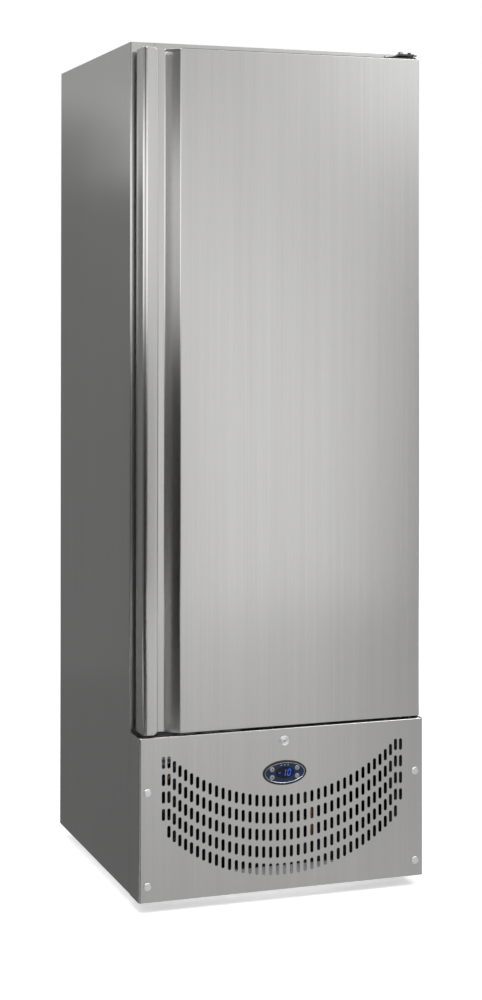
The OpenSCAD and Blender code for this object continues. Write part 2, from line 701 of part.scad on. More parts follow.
// Tray that the melt water runs into, over the compressor's side of the pan
tray_half = 90;
tray_reach = 60;
tray_wall = 2;
tray_h = 40;
tray_leg = 8;
leg_in = 6;
tray_z = bay_floor + 70;
module evaporation_tray() color("gray") {
    x0 = drain_x - tray_half;
    x1 = drain_x + tray_half;
    y0 = drain_y - tray_reach;
    difference() {
        block(x0, x1, y0, y_pan, tray_z, tray_z + tray_h);
        block(x0 + tray_wall, x1 - tray_wall, y0 + tray_wall, y_pan - tray_wall,
              tray_z + tray_wall, tray_z + tray_h + 1);
    }
    for (x = [x0 + leg_in, x1 - leg_in - tray_leg]) for (y = [y0 + leg_in, y_pan - leg_in - tray_leg])
        block(x, x + tray_leg, y, y + tray_leg, bay_floor, tray_z + EPS);
}

drain_wall = 1.8;
drain_brim = 6;
drain_end = 14;
module drain_pipe() color("white") difference() {
    r = drain_r - running * 4;
    union() {
        rod_z(r, drain_x, drain_y, tray_z + drain_end, z_in0 + EPS);
        rod_z(r + drain_brim, drain_x, drain_y, z_in0, z_in0 + drain_wall);
    }
    rod_z(r - drain_wall, drain_x, drain_y, tray_z, z_in0 + drain_wall + 1);
}

// Evaporator unit under the ceiling of the storage space
ev_side = 30;
ev_front = 60;
ev_rear = 12;
ev_x = x_in - ev_side;
ev_y0 = y_strip + ev_front;
ev_y1 = y_in - ev_rear;
ev_z0 = z_in1 - evap_h;
ev_t = 1.5;
ev_ring = evap_fan_r + 5;
ev_fan_y = ev_y0 + ev_ring + 19;
ev_coil_y = ev_y1 - 60;
grille_w = 22;
grille_h = 6;
grille_step = 32;
grille_cols = 7;
grille_rows = [30, 44];
guard_r = ev_ring + 4;
guard_wire = 2;
guard_gap = 4;
guard_bar = 3;
module evaporator_cover() color("whitesmoke") {
    holes = [for (z = grille_rows) for (i = [-grille_cols:grille_cols])
        rect(i * grille_step - grille_w / 2, i * grille_step + grille_w / 2,
             ev_z0 + z, ev_z0 + z + grille_h)];
    translate([0, 0, ev_z0]) linear_extrude(ev_t)
        sheet(rect(-ev_x, ev_x, ev_y0, ev_y1), [ellipse(2 * ev_ring, 2 * ev_ring, 60, 0, ev_fan_y)]);
    for (y = [ev_y0, ev_y1 - ev_t]) plate_y(y, y + ev_t)
        sheet(rect(-ev_x, ev_x, ev_z0, z_in1 - seam), holes);
    both_sides() block(ev_x - ev_t, ev_x, ev_y0, ev_y1, ev_z0, z_in1 - seam);
    guard_z = ev_z0 - guard_gap;
    for (i = [1:3]) translate([0, 0, guard_z]) linear_extrude(guard_wire) {
        d = 2 * guard_r * i / 3;
        sheet(ellipse(d, d, 48, 0, ev_fan_y),
              [ellipse(d - 2 * guard_wire, d - 2 * guard_wire, 48, 0, ev_fan_y)]);
    }
    for (a = [0, 90]) translate([0, ev_fan_y, 0]) rotate([0, 0, a])
        block(-guard_r - guard_wire, guard_r + guard_wire, -guard_bar / 2, guard_bar / 2,
              guard_z + guard_wire - 0.5, ev_z0 + EPS);
}

ev_hub = 18;
ev_fan_z = ev_z0 + 8;
module evaporator_fan() color("gray") translate([0, ev_fan_y, ev_fan_z + ev_hub]) mirror([0, 0, 1])
    fan(evap_fan_r, 16, ev_hub, 5, 26, shaft_r + running);

ev_motor_r = 24;
ev_motor_h = 36;
ev_strap = 9;
module evaporator_fan_motor() color([0.25, 0.25, 0.27]) {
    z0 = ev_fan_z + ev_hub + motor_gap;
    z1 = z0 + ev_motor_h;
    rod_z(ev_motor_r, 0, ev_fan_y, z0, z1);
    rod_z(shaft_r, 0, ev_fan_y, ev_fan_z + ev_hub * 0.3, z0 + EPS);
    block(-ev_x + ev_t, ev_x - ev_t, ev_fan_y - ev_strap, ev_fan_y + ev_strap, z1 - EPS, z1 + arm_t);
}

ev_coil_rows = 3;
ev_coil_pitch = 26;
ev_coil_bank = 28;
ev_coil_low = 34;
ev_coil_in = 45;
ev_fin_gap = 18;
ev_fin_h = 96;
ev_fin_over = 16;
module evaporator_coil() color([0.7, 0.7, 0.68]) {
    w = 2 * (ev_x - ev_coil_in);
    for (y = [ev_coil_y, ev_coil_y - ev_coil_bank])
        translate([0, y, ev_z0 + ev_coil_low]) serpentine(w, ev_coil_rows, ev_coil_pitch, coil_r);
    count = floor(w / ev_fin_gap) - 1;
    for (i = [0:count]) translate([(i - count / 2) * ev_fin_gap, 0, 0])
        block(-fin_t / 2, fin_t / 2, ev_coil_y - ev_coil_bank - ev_fin_over, ev_coil_y + ev_fin_over,
              ev_z0 + ev_t, ev_z0 + ev_t + ev_fin_h);
}

// Shelf uprights, clips and wire shelves
shelf_count = 4;
pil_t = 8;
pil_w = 22;
pil_in = 70;
pil_sheet = 1.2;
pil_rows = [y_strip + pil_in, y_in - pil_in];
pil_z1 = ev_z0 - 12;
notch_w = 8;
notch_h = 12;
notch_pitch = 40;
notch_low = 30;
shelf_space = (ev_z0 - z_in0) / (shelf_count + 1);
function shelf_z(i) = z_in0 + i * shelf_space;
module shelf_pilasters() color("silver") both_sides() for (y = pil_rows) {
    count = floor((pil_z1 - z_in0 - notch_low - notch_h) / notch_pitch);
    notches = [for (i = [0:count - 1]) let (z = z_in0 + notch_low + i * notch_pitch)
        rect(y - notch_w / 2, y + notch_w / 2, z, z + notch_h)];
    translate([x_in - pil_t, 0, 0]) rotate([90, 0, 90]) linear_extrude(pil_sheet)
        sheet(rect(y - pil_w / 2, y + pil_w / 2, z_in0, pil_z1), notches);
    for (y0 = [y - pil_w / 2, y + pil_w / 2 - pil_sheet])
        block(x_in - pil_t, x_in, y0, y0 + pil_sheet, z_in0, pil_z1);
}

clip_out = 15;
clip_half = 8;
clip_t = 3;
clip_drop = 16;
module shelf_clips() color("gainsboro") both_sides() for (y = pil_rows) for (i = [1:shelf_count])
    translate([0, y, shelf_z(i)]) {
        block(x_in - pil_t - clip_out, x_in - pil_t, -clip_half, clip_half, -clip_t, 0);
        block(x_in - pil_t - clip_t, x_in - pil_t, -clip_half, clip_half, -clip_drop, 0);
    }

// Each shelf is a frame with cross rods under a row of wires
shelf_x = x_in - pil_t - 2;
shelf_y0 = y_strip + 34;
shelf_y1 = y_in - 24;
wire_gap = 22;
module wire_shelf(i) color("whitesmoke") translate([0, 0, shelf_z(i)]) {
    n = floor((2 * shelf_x - 2 * wire_t) / wire_gap);
    step = (2 * shelf_x - wire_t) / n;
    gaps = [for (k = [0:n - 1]) rect(-shelf_x + wire_t + k * step, -shelf_x + (k + 1) * step,
                                     shelf_y0 + wire_t, shelf_y1 - wire_t)];
    translate([0, 0, wire_t - 1]) linear_extrude(wire_t)
        sheet(rect(-shelf_x, shelf_x, shelf_y0, shelf_y1), gaps);
    for (y = [pil_rows[0], (pil_rows[0] + pil_rows[1]) / 2, pil_rows[1]])
        block(-shelf_x, shelf_x, y - wire_t / 2, y + wire_t / 2, 0, wire_t);
}
module shelf_1() wire_shelf(1);
module shelf_2() wire_shelf(2);
module shelf_3() wire_shelf(3);
module shelf_4() wire_shelf(4);

// Hinges: brackets on the cabinet with the pins, black plates on the door
bracket_t = 3;
screw_r = 3;
screw_hole = screw_r + 0.2;
head_r = 6;
head_h = 2.5;
arm_rise = 9.2;
top_arm = z_door1 + arm_rise;
top_seat = top_arm + bracket_t;
pin_plate_t = 2;
pin_tip = 6;
hinge_arm = 30;
hinge_half = 9;
flap_w = 46;
flap_h = 24;
bolt_x = x_pivot - 22;
top_screws = [x_side - 40, x_side - 18];
top_screw_z = top_arm - 13;
module top_hinge_bracket() color([0.12, 0.12, 0.12]) difference() {
    union() {
        translate([0, 0, top_arm]) linear_extrude(bracket_t)
            polygon([[x_side - 6 - flap_w, y_flange - seam], [x_side - 6 - flap_w, y_flange - 12],
                     [x_pivot - hinge_arm, y_pivot + hinge_half], [x_pivot - hinge_arm, y_pivot - hinge_half],
                     [x_side - 6, y_pivot - hinge_half], [x_side - 6, y_flange - seam]]);
        block(x_side - 6 - flap_w, x_side - 6, y_flange - seam - bracket_t, y_flange - seam,
              top_arm - flap_h, top_arm + EPS);
        block(x_pivot - hinge_arm, x_pivot + hinge_half, y_pivot - hinge_half + 1, y_pivot + hinge_half - 1,
              top_seat - EPS, top_seat + pin_plate_t);
        rod_z(pin_r, x_pivot, y_pivot, z_door1 - 14, top_seat + pin_tip);
    }
    rod_z(screw_hole, bolt_x, y_pivot, top_arm - 1, top_seat + pin_plate_t + 1);
    for (x = top_screws) rod_y(screw_hole, x, top_screw_z, y_flange - 10, y_flange);
}

low_plate = z_door0 - 1.5 - bracket_t;
module bottom_hinge_bracket() color([0.12, 0.12, 0.12]) {
    translate([0, 0, low_plate]) linear_extrude(bracket_t)
        polygon([[x_mouth + 4, y_flange - seam], [x_mouth + 4, y_flange - 14],
                 [x_pivot - 14, y_pivot - 6], [x_pivot - 6, y_pivot - 13],
                 [x_side - 6, y_pivot - 13], [x_side - 6, y_flange - seam]]);
    difference() {
        block(x_mouth + 4, x_side - 6, y_flange - seam - bracket_t, y_flange - seam,
              low_plate - 46, low_plate + EPS);
        for (z = low_screws) rod_y(screw_hole, low_screw_x, z, y_flange - 10, y_flange);
    }
    rod_z(pin_r, x_pivot, y_pivot, low_plate, z_door0 + 14);
}
low_screw_x = x_side - 28;
low_screws = [low_plate - 16, low_plate - 34];

hex_r = 6.5;
hex_h = 5;
module hinge_screws() color("gray") {
    seat = top_seat + pin_plate_t;
    rod_z(screw_r, bolt_x, y_pivot, top_arm, seat + EPS);
    translate([bolt_x, y_pivot, seat]) linear_extrude(hex_h)
        polygon([for (i = [0:5]) [hex_r * cos(60 * i), hex_r * sin(60 * i)]]);
    front = y_flange - seam - bracket_t;
    for (p = concat([for (x = top_screws) [x, top_screw_z]], [for (z = low_screws) [low_screw_x, z]])) {
        rod_y(screw_r, p[0], p[1], front - EPS, y_flange - seam);
        rod_y(head_r, p[0], p[1], front - head_h, front);
    }
}

// Door: the outline seen from above, drawn in by t from the outer face
edge_r = 3;
lip_x = -x_door + lip_w;
slope_x = lip_x + groove_w;
y_lip = y_face - lip_proud;
y_groove = y_face + groove_d;
function lip_face(t) = concat(arc(-x_door + lip_r, y_lip + lip_r, lip_r - t, 180, 270, 8),
                              [[lip_x - t, y_lip + t]]);
function slope_foot(t) = [slope_x + slope_shift * t, y_groove + t];
function main_face(t) = concat([slope_foot(t), slope_foot(t) + [slope_w, -groove_d]],
                               arc(x_door - edge_r, y_face + edge_r, edge_r - t, 270, 360, 4));
function reversed(p) = [for (i = [len(p) - 1:-1:0]) p[i]];

// The skin is one sheet, drawn as three strips that part by a hair at the two
// inner bends of the groove, because a solid that held the whole bent sheet
// would be filled across the finger groove for contact
module door_skin() color("silver") translate([0, 0, z_door0]) linear_extrude(z_door1 - z_door0) {
    polygon(concat([[-x_door, y_door_back]], lip_face(0), [[lip_x, y_groove - running]],
                   [[lip_x - sheet_t, y_groove - running]], reversed(lip_face(sheet_t)),
                   [[-x_door + sheet_t, y_door_back]]));
    polygon([[lip_x - sheet_t, y_groove], slope_foot(0) - [running, 0],
             slope_foot(sheet_t) - [running, 0], [lip_x - sheet_t, y_groove + sheet_t]]);
    polygon(concat(main_face(0), [[x_door, y_door_back], [x_door - sheet_t, y_door_back]],
                   reversed(main_face(sheet_t))));
}

module door_fill(t, z0, z1, back) translate([0, 0, z0]) linear_extrude(z1 - z0)
    polygon(concat([[-x_door + t, back]], lip_face(t), [[lip_x - t, y_groove + t]], main_face(t),
                   [[x_door - t, back]]));

// The same outline for a level sheet, parted at the groove like the skin
module door_strips(t, z0, z1, back) translate([0, 0, z0]) linear_extrude(z1 - z0) {
    polygon(concat([[-x_door + t, back]], lip_face(t), [[lip_x - t, back]]));
    polygon([[lip_x - t + running, y_groove + t], slope_foot(t) - [running, 0],
             [slope_foot(t)[0] - running, back], [lip_x - t + running, back]]);
    polygon(concat(main_face(t), [[x_door - t, back], [slope_foot(t)[0], back]]));
}

liner_back = y_door_back - liner_t;
strike_y0 = bolt_y0 - 2;
strike_y1 = bolt_y0 + bolt_t + 2;
strike_x = bolt_half + 2;
strike_h = lock_travel + 4;
bush_r = pin_r + 3;
bush_l = 18;
module pin_holes(r, z0, z1) rod_z(r, x_pivot, y_pivot, z0, z1);

module door_end_caps() color("silver") {
    difference() {
        door_strips(sheet_t, z_door1 - sheet_t, z_door1, liner_back);
        pin_holes(bush_r + 0.1, z_door1 - 5, z_door1 + 5);
        plate_screw_hole();
    }
    difference() {
        door_strips(sheet_t, z_door0, z_door0 + sheet_t, liner_back);
        pin_holes(bush_r + 0.1, z_door0 - 5, z_door0 + 5);
        block(-strike_x - 0.2, strike_x + 0.2, strike_y0 - 0.2, strike_y1 + 0.2,
              z_door0 - 1, z_door0 + 3);
    }
}

module door_foam() color("khaki") difference() {
    door_fill(sheet_t, z_door0 + sheet_t, z_door1 - sheet_t, liner_back);
    pin_holes(bush_r + 0.1, z_door1 - bush_l - 0.2, z_door1);
    plate_screw_hole();
    pin_holes(bush_r + 0.1, z_door0, z_door0 + bush_l + 0.2);
    block(-strike_x - 0.2, strike_x + 0.2, strike_y0 - 0.2, strike_y1 + 0.2,
          z_door0, z_door0 + strike_h + 0.2);
}

module door_liner() color("white") {
    block(-x_door + sheet_t, x_door - sheet_t, liner_back, y_door_back, z_door0, z_door1);
    inset = gasket_inset + gasket_w + 3;
    block(-x_door + inset, x_door - inset, y_door_back, y_door_back + plug_out,
          z_door0 + inset, z_door1 - inset);
}

module door_gasket() color([0.07, 0.07, 0.08])
    plate_y(y_door_back, y_flange - slide_gap)
        sheet(rect(-x_door + gasket_inset, x_door - gasket_inset,
                   z_door0 + gasket_inset, z_door1 - gasket_inset),
              [rect(-x_door + rim - 1, x_door - rim + 1, z_door0 + rim - 1, z_door1 - rim + 1)]);

plate_l = 88;
plate_h = 5.5;
plate_d = 15;
plate_slope = 11;
module door_hinge_plates() color([0.1, 0.1, 0.1]) {
    difference() {
        union() {
            plate_y(y_pivot - plate_d, y_pivot + plate_d) polygon([
                [x_door - plate_l, z_door1], [x_door - 0.5, z_door1],
                [x_door - 3, z_door1 + plate_h], [x_door - plate_l + plate_slope, z_door1 + plate_h]]);
            rod_z(9, x_pivot, y_pivot, z_door1, top_arm - seam);
            rod_z(bush_r, x_pivot, y_pivot, z_door1 - bush_l, z_door1 + EPS);
        }
        rod_z(pin_r + running, x_pivot, y_pivot, z_door1 - 15, z_door1 + door_top_gap);
        plate_screw_hole();
    }
    difference() {
        union() {
            rod_z(bush_r + 3, x_pivot, y_pivot, z_door0 - 1.2, z_door0);
            rod_z(bush_r, x_pivot, y_pivot, z_door0 - EPS, z_door0 + bush_l);
        }
        rod_z(pin_r + running, x_pivot, y_pivot, z_door0 - 2, z_door0 + 15);
    }
}

// The screw that holds the upper plate on the door
plate_screw_x = x_pivot - 57;
plate_screw_l = 12;
plate_head_r = 7;
plate_head_h = 4.5;
module plate_screw_hole()
    rod_z(screw_r + 0.1, plate_screw_x, y_pivot, z_door1 - plate_screw_l - 0.2, z_door1 + plate_h + 1);
module hinge_plate_screw() color("gray") {
    seat = z_door1 + plate_h;
    rod_z(screw_r, plate_screw_x, y_pivot, z_door1 - plate_screw_l, seat + EPS);
    rod_z(plate_head_r, plate_screw_x, y_pivot, seat, seat + plate_head_h);
}

module lock_strike() color("silver") difference() {
    block(-strike_x, strike_x, strike_y0, strike_y1, z_door0, z_door0 + strike_h);
    block(-strike_x + 1, strike_x - 1, strike_y0 + 1, strike_y1 - 1,
          z_door0 - 1, z_door0 + strike_h - 1);
}

// Mains inlet in the rear grille: a shell with three flat pins inside
module power_inlet() color([0.1, 0.1, 0.1]) {
    y0 = y_back - 2 * sheet_t - 24;
    y1 = y_back;
    difference() {
        block(inlet_x - inlet_w / 2 + 0.3, inlet_x + inlet_w / 2 - 0.3, y0, y1,
              inlet_z - inlet_h / 2 + 0.3, inlet_z + inlet_h / 2 - 0.3);
        block(inlet_x - 12.5, inlet_x + 12.5, y0 + 3, y1 + 1, inlet_z - 8.5, inlet_z + 8.5);
    }
    for (p = [[-7, -2], [0, 2], [7, -2]])
        block(inlet_x + p[0] - 1, inlet_x + p[0] + 1, y0 + 2, y1 - 6,
              inlet_z + p[1] - 2, inlet_z + p[1] + 2);
}

side_panel_left();
side_panel_right();
top_panel();
front_sill();
rear_panel();
rear_grille();
cabinet_foam();
bay_roof();
inner_liner();
breaker_strip();
base_pan();
levelling_feet();
front_cover();
cover_screws();
lock_housing();
lock_plug();
lock_bolt();
controller_ring();
controller_face();
controller_box();
display_screen();
display_figures();
button_up();
button_down();
button_set();
button_standby();
compressor();
compressor_mounts();
terminal_box();
condenser_coil();
fan_shroud();
condenser_fan_motor();
condenser_fan();
filter_drier();
refrigerant_pipes();
evaporation_tray();
drain_pipe();
evaporator_coil();
evaporator_cover();
evaporator_fan_motor();
evaporator_fan();
shelf_pilasters();
shelf_clips();
shelf_1();
shelf_2();
shelf_3();
shelf_4();
top_hinge_bracket();
bottom_hinge_bracket();
hinge_screws();
door_skin();
door_end_caps();
door_foam();
door_liner();
door_gasket();
door_hinge_plates();
hinge_plate_screw();
lock_strike();
power_inlet();
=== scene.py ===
import json
import math

import bmesh
import bpy
from mathutils import Matrix, Vector
from mathutils.geometry import tessellate_polygon


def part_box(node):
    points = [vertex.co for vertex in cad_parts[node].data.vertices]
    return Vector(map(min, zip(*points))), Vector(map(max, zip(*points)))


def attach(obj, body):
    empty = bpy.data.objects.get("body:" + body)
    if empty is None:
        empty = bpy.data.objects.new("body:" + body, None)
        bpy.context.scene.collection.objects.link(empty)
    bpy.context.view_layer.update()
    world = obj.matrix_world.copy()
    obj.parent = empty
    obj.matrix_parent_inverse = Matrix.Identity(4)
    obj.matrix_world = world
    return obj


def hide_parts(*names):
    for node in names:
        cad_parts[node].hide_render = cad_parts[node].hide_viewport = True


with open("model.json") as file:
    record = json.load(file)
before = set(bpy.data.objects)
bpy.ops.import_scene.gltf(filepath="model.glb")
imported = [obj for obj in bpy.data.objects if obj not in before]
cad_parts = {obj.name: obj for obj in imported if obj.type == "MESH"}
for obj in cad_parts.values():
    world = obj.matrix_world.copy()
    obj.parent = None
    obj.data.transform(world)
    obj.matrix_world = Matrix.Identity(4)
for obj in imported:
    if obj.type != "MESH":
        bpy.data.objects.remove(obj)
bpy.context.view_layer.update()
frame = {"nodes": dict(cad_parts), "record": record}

# Looks of an upright freezer. Metres. The origin is on the floor at the middle
# of the footprint, the door faces -Y and its hinges are at +X.
MM = 0.001

# Camera: where the photographer stood, and how the picture was framed
LENS = 70.459
EYE = Vector((-1.5431, -4.4745, 1.3246))
TURN = math.radians(19.448)
TILT = math.radians(0.5285)
ROLL = math.radians(0.0538)
SHIFT_RIGHT = -0.0071
SHIFT_UP = -0.2087

# Studio
AMBIENT = 0.62
FLOOR_GLOW = 0.5
FLOOR_HALF = 40.0
CARD_TALL, CARD_POWER = 4.0, 2.0
LAMP_SIZE, LAMP_TARGET = 2.0, Vector((0, 0, 1.0))

# Places read from the frame
SKIN_LOW, SKIN_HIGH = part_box("door_skin")
COVER_LOW, COVER_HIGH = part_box("front_cover")
SIDE_LOW, SIDE_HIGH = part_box("side_panel_left")
SIDE_RIGHT = -SIDE_LOW.x
LINER_LOW, LINER_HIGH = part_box("inner_liner")
FACE = COVER_LOW.y
SHEET = 1.0 * MM


# Directions
UP, FRONT, BACK, LEFT = (0, 0, 1), (0, -1, 0), (0, 1, 0), (-1, 0, 0)


# Flat outlines and lines

def mm(rows):
    """Pairs of millimetres as pairs of metres."""
    return [(a * MM, b * MM) for a, b in rows]


def rectangle(x0, x1, y0, y1):
    return [(x0, y0), (x1, y0), (x1, y1), (x0, y1)]


def four_spots(low, high, inset_by):
    """The (x, y) places near the four corners of a box, inset_by from its sides."""
    return [(x, y) for x in (low.x + inset_by, high.x - inset_by)
            for y in (low.y + inset_by, high.y - inset_by)]


def corner(a, b, c, radius, steps):
    """Points of the arc that rounds the corner b on the way from a to c."""
    u, v = (a - b).normalized(), (c - b).normalized()
    half = u.angle(v) / 2
    if half > math.radians(89.5) or radius <= 0:
        return [b]
    reach = min(radius / math.tan(half), 0.49 * (a - b).length, 0.49 * (c - b).length)
    centre = b + (u + v).normalized() * (reach / math.cos(half))
    start, end = b + u * reach - centre, b + v * reach - centre
    turn = start.angle(end)
    return [centre + (start * math.sin((1 - i / steps) * turn)
                      + end * math.sin(i / steps * turn)) / math.sin(turn)
            for i in range(steps + 1)]


def rounded(points, radius, steps=5, closed=False):
    """A line of points with its corners rounded. radius is one number or one for each point."""
    points = [Vector(p) for p in points]
    n = len(points)
    radii = radius if isinstance(radius, (list, tuple)) else [radius] * n
    out = []
    for i, p in enumerate(points):
        if not closed and i in (0, n - 1):
            out.append(p)
        else:
            out += corner(points[i - 1], p, points[(i + 1) % n], radii[i], steps)
    return out


def inset(line, d):
    """An open flat line moved to its right by d, with mitred corners."""
    out = []
    for i, p in enumerate(line):
        before = (p - line[i - 1]).normalized() if i else None
        after = (line[i + 1] - p).normalized() if i < len(line) - 1 else before
        before = before or after
        na, nb = Vector((before.y, -before.x)), Vector((after.y, -after.x))
        mid = (na + nb).normalized()
        out.append(p + mid * (d / max(0.3, mid.dot(nb))))
    return out


def middle(name):
    low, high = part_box(name)
    return (low + high) / 2


def oval(w, h, steps=72):
    return [Vector((w / 2 * math.cos(a), h / 2 * math.sin(a)))
            for a in (2 * math.pi * i / steps for i in range(steps))]


def frame_ring(x0, x1, z0, z1, r, y, steps=6):
    """A rectangle with round corners in the plane at y."""
    flat = rounded(rectangle(x0, x1, z0, z1), r, steps, closed=True)
    return [Vector((p.x, y, p.y)) for p in flat]


# Solid forms

SHARP = 34    # degrees at which two faces meet in a sharp edge


class Form:
    """Points and faces of one piece, gathered shape by shape."""

    def __init__(self):
        self.points, self.faces = [], []

    def loft(self, rings, around=True, caps=True):
        """Skins a row of rings that all have the same number of points."""
        start, n = len(self.points), len(rings[0])
        for ring in rings:
            self.points += [Vector(p) for p in ring]
        for i in range(len(rings) - 1):
            for k in range(n if around else n - 1):
                a, b = start + i * n + k, start + i * n + (k + 1) % n
                self.faces.append((a, b, b + n, a + n))
        if caps:
            last = start + (len(rings) - 1) * n
            self.faces.append(tuple(range(start + n - 1, start - 1, -1)))
            self.faces.append(tuple(range(last, last + n)))
        return self

    def prism(self, outline, place):
        """A flat outline between the two levels of place, which turns (u, v, level) into a point."""
        place, levels = place
        return self.loft([[place(p[0], p[1], level) for p in outline] for level in levels])

    def face(self, points):
        """One flat face on its own."""
        start = len(self.points)
        self.points += [Vector(p) for p in points]
        self.faces.append(tuple(range(start, len(self.points))))
        return self

    def plate(self, outline, holes, place, ease=0.0, rim=True, bored=True):
        """A sheet with holes. The outline and holes are functions of how much they grow, and
        their edges on the first level are eased. bored is False where another form lines the holes."""
        place, (first, last) = place
        layers = [(0, first), (0, last)]
        if ease:
            layers = [(ease, first), (0, first + math.copysign(ease, last - first)), (0, last)]
        sheets = [[outline(-grow)] + [hole(grow) for hole in holes] for grow, level in layers]
        flat = [[Vector((p[0], p[1], 0)) for p in loop] for loop in sheets[0]]
        cover = tessellate_polygon(flat)
        start, total = len(self.points), sum(len(loop) for loop in flat)
        for loops, (grow, level) in zip(sheets, layers):
            self.points += [place(p[0], p[1], level) for loop in loops for p in loop]
        top = start + (len(layers) - 1) * total
        self.faces += [tuple(base + k for k in f) for base in (start, top) for f in cover]
        at = 0
        for i, loop in enumerate(flat):
            if (i and bored) or (rim and not i):
                n = len(loop)
                for layer in range(len(layers) - 1):
                    base = start + layer * total + at
                    for k in range(n):
                        following = base + (k + 1) % n
                        self.faces.append((base + k, following, following + total, base + total + k))
            at += len(loop)
        return self

    def block(self, low, high):
        outline = rectangle(low[0], high[0], low[1], high[1])
        return self.prism(outline, in_xy(low[2], high[2]))

    def lathe(self, centre, axis, profile, steps=48, closed=False):
        """Turns (radius, distance along the axis) pairs round an axis through centre."""
        axis = Vector(axis).normalized()
        u = axis.orthogonal().normalized()
        v = axis.cross(u)
        turns = [2 * math.pi * k / steps for k in range(steps)]
        rings = [[Vector(centre) + axis * d + max(r, 1e-5) * (u * math.cos(a) + v * math.sin(a))
                  for a in turns] for r, d in profile]
        return self.loft(rings + rings[:1] if closed else rings, caps=not closed)

    def wire(self, path, radius, sides=8, closed=False):
        """A round wire or tube along a line of points."""
        path = [Vector(p) for p in path]
        n = len(path)
        rings, side = [], None
        for i, p in enumerate(path):
            a = path[(i - 1) % n if closed else max(i - 1, 0)]
            b = path[(i + 1) % n if closed else min(i + 1, n - 1)]
            t = (b - a).normalized()
            side = side or t.orthogonal()
            side = (side - t * side.dot(t)).normalized()
            up = t.cross(side)
            rings.append([p + radius * (math.cos(q) * side + math.sin(q) * up)
                          for q in (2 * math.pi * k / sides for k in range(sides))])
        if closed:
            rings.append([v.copy() for v in rings[0]])
        return self.loft(rings, caps=not closed)


def in_xy(z0, z1):
    return (lambda u, v, w: Vector((u, v, w))), (z0, z1)


def in_xz(y0, y1):
    return (lambda u, v, w: Vector((u, w, v))), (y0, y1)


def show(name, data):
    """A new object in the scene."""
    obj = bpy.data.objects.new(name, data)
    bpy.context.scene.collection.objects.link(obj)
    return obj


def soften(obj, width):
    """Rounds the sharp edges of a piece a little, as bent sheet and mouldings are."""
    if width:
        edge = obj.modifiers.new("round_edges", "BEVEL")
        edge.width, edge.segments = width, 2
        edge.limit_method, edge.angle_limit = "ANGLE", math.radians(SHARP)
        edge.use_clamp_overlap = True
    shade = obj.modifiers.new("even_shading", "WEIGHTED_NORMAL")
    shade.keep_sharp = True


def piece(name, form, slot, body, stands_for=(), edge=0.0, smooth=SHARP):
    """Makes one visible piece from a form, finishes it and lets it ride on its body."""
    mesh = bpy.data.meshes.new(name)
    mesh.from_pydata([tuple(p) for p in form.points], [], form.faces)
    work = bmesh.new()
    work.from_mesh(mesh)
    bmesh.ops.remove_doubles(work, verts=work.verts, dist=1e-6)
    bmesh.ops.dissolve_degenerate(work, dist=1e-7, edges=work.edges)
    bmesh.ops.recalc_face_normals(work, faces=work.faces)
    work.to_mesh(mesh)
    work.free()
    mesh.shade_smooth()
    mesh.set_sharp_from_angle(angle=math.radians(smooth))
    mesh.materials.append(FINISHES[slot])
    obj = show(name, mesh)
    soften(obj, edge)
    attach(obj, body)
    if stands_for:
        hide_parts(*stands_for)
    return obj


# Shader trees

class Signal:
    """One output of a shader node. Sums written with signals become Math nodes."""

    def __init__(self, tree, socket):
        self.tree, self.socket = tree, socket

    __add__ = __radd__ = lambda self, other: self.tree.sum("ADD", self, other)
    __mul__ = __rmul__ = lambda self, other: self.tree.sum("MULTIPLY", self, other)
    __sub__ = lambda self, other: self.tree.sum("SUBTRACT", self, other)
    __or__ = lambda self, other: self.tree.sum("MAXIMUM", self, other)    # the larger of the two


class Tree:
    """The shader tree of one finish, lamp card or sky."""

    def __init__(self, owner):
        owner.use_nodes = True
        self.nodes, self.links = owner.node_tree.nodes, owner.node_tree.links
        self.nodes.clear()

    def add(self, kind, inputs=None, out=0, stops=None, **settings):
        """Makes a node, with its settings first and then the values or links of its sockets."""
        node = self.nodes.new("ShaderNode" + kind)
        for key, value in settings.items():
            setattr(node, key, value)
        if stops:
            ramp = node.color_ramp
            while len(ramp.elements) < len(stops):
                ramp.elements.new(0.5)
            for element, (at, colour) in zip(ramp.elements, stops):
                element.position, element.color = at, (*colour, 1) if len(colour) == 3 else colour
        for key, value in (inputs or {}).items():
            if isinstance(value, Signal):
                self.links.new(value.socket, node.inputs[key])
            else:
                node.inputs[key].default_value = value
        return Signal(self, node.outputs[out]) if node.outputs else None

    def sum(self, operation, a, b):
        return self.add("Math", {0: a, 1: b}, operation=operation)

    def place(self, stretch=(1, 1, 1)):
        """A point on the piece in metres, stretched along each axis."""
        where = self.add("TexCoord", out="Object")
        return self.add("VectorMath", {0: where, 1: stretch}, operation="MULTIPLY")

    def noise(self, stretch, detail=3.0):
        return self.add("TexNoise", {"Vector": self.place(stretch), "Scale": 1.0,
                                     "Detail": detail, "Roughness": 0.55})

    def blend(self, factor, a, b):
        """A colour between a and b."""
        a, b = ((*c, 1) if isinstance(c, tuple) and len(c) == 3 else c for c in (a, b))
        return self.add("Mix", {0: factor, 6: a, 7: b}, out=2, data_type="RGBA")

    def relief(self, height, depth):
        return self.add("Bump", {"Height": height, "Distance": depth, "Strength": 1.0})


def finish(name, build):
    """A material whose surface sockets come from build(tree)."""
    material = bpy.data.materials.new(name)
    tree = Tree(material)
    sockets = build(tree)
    inputs = {k: ((*v, 1) if isinstance(v, tuple) and len(v) == 3 else v) for k, v in sockets.items()}
    shader = tree.add("BsdfPrincipled", inputs)
    tree.add("OutputMaterial", {"Surface": shader})
    return material


# Finishes

STEEL, STEEL_DEEP = (0.618, 0.614, 0.604), (0.466, 0.463, 0.458)


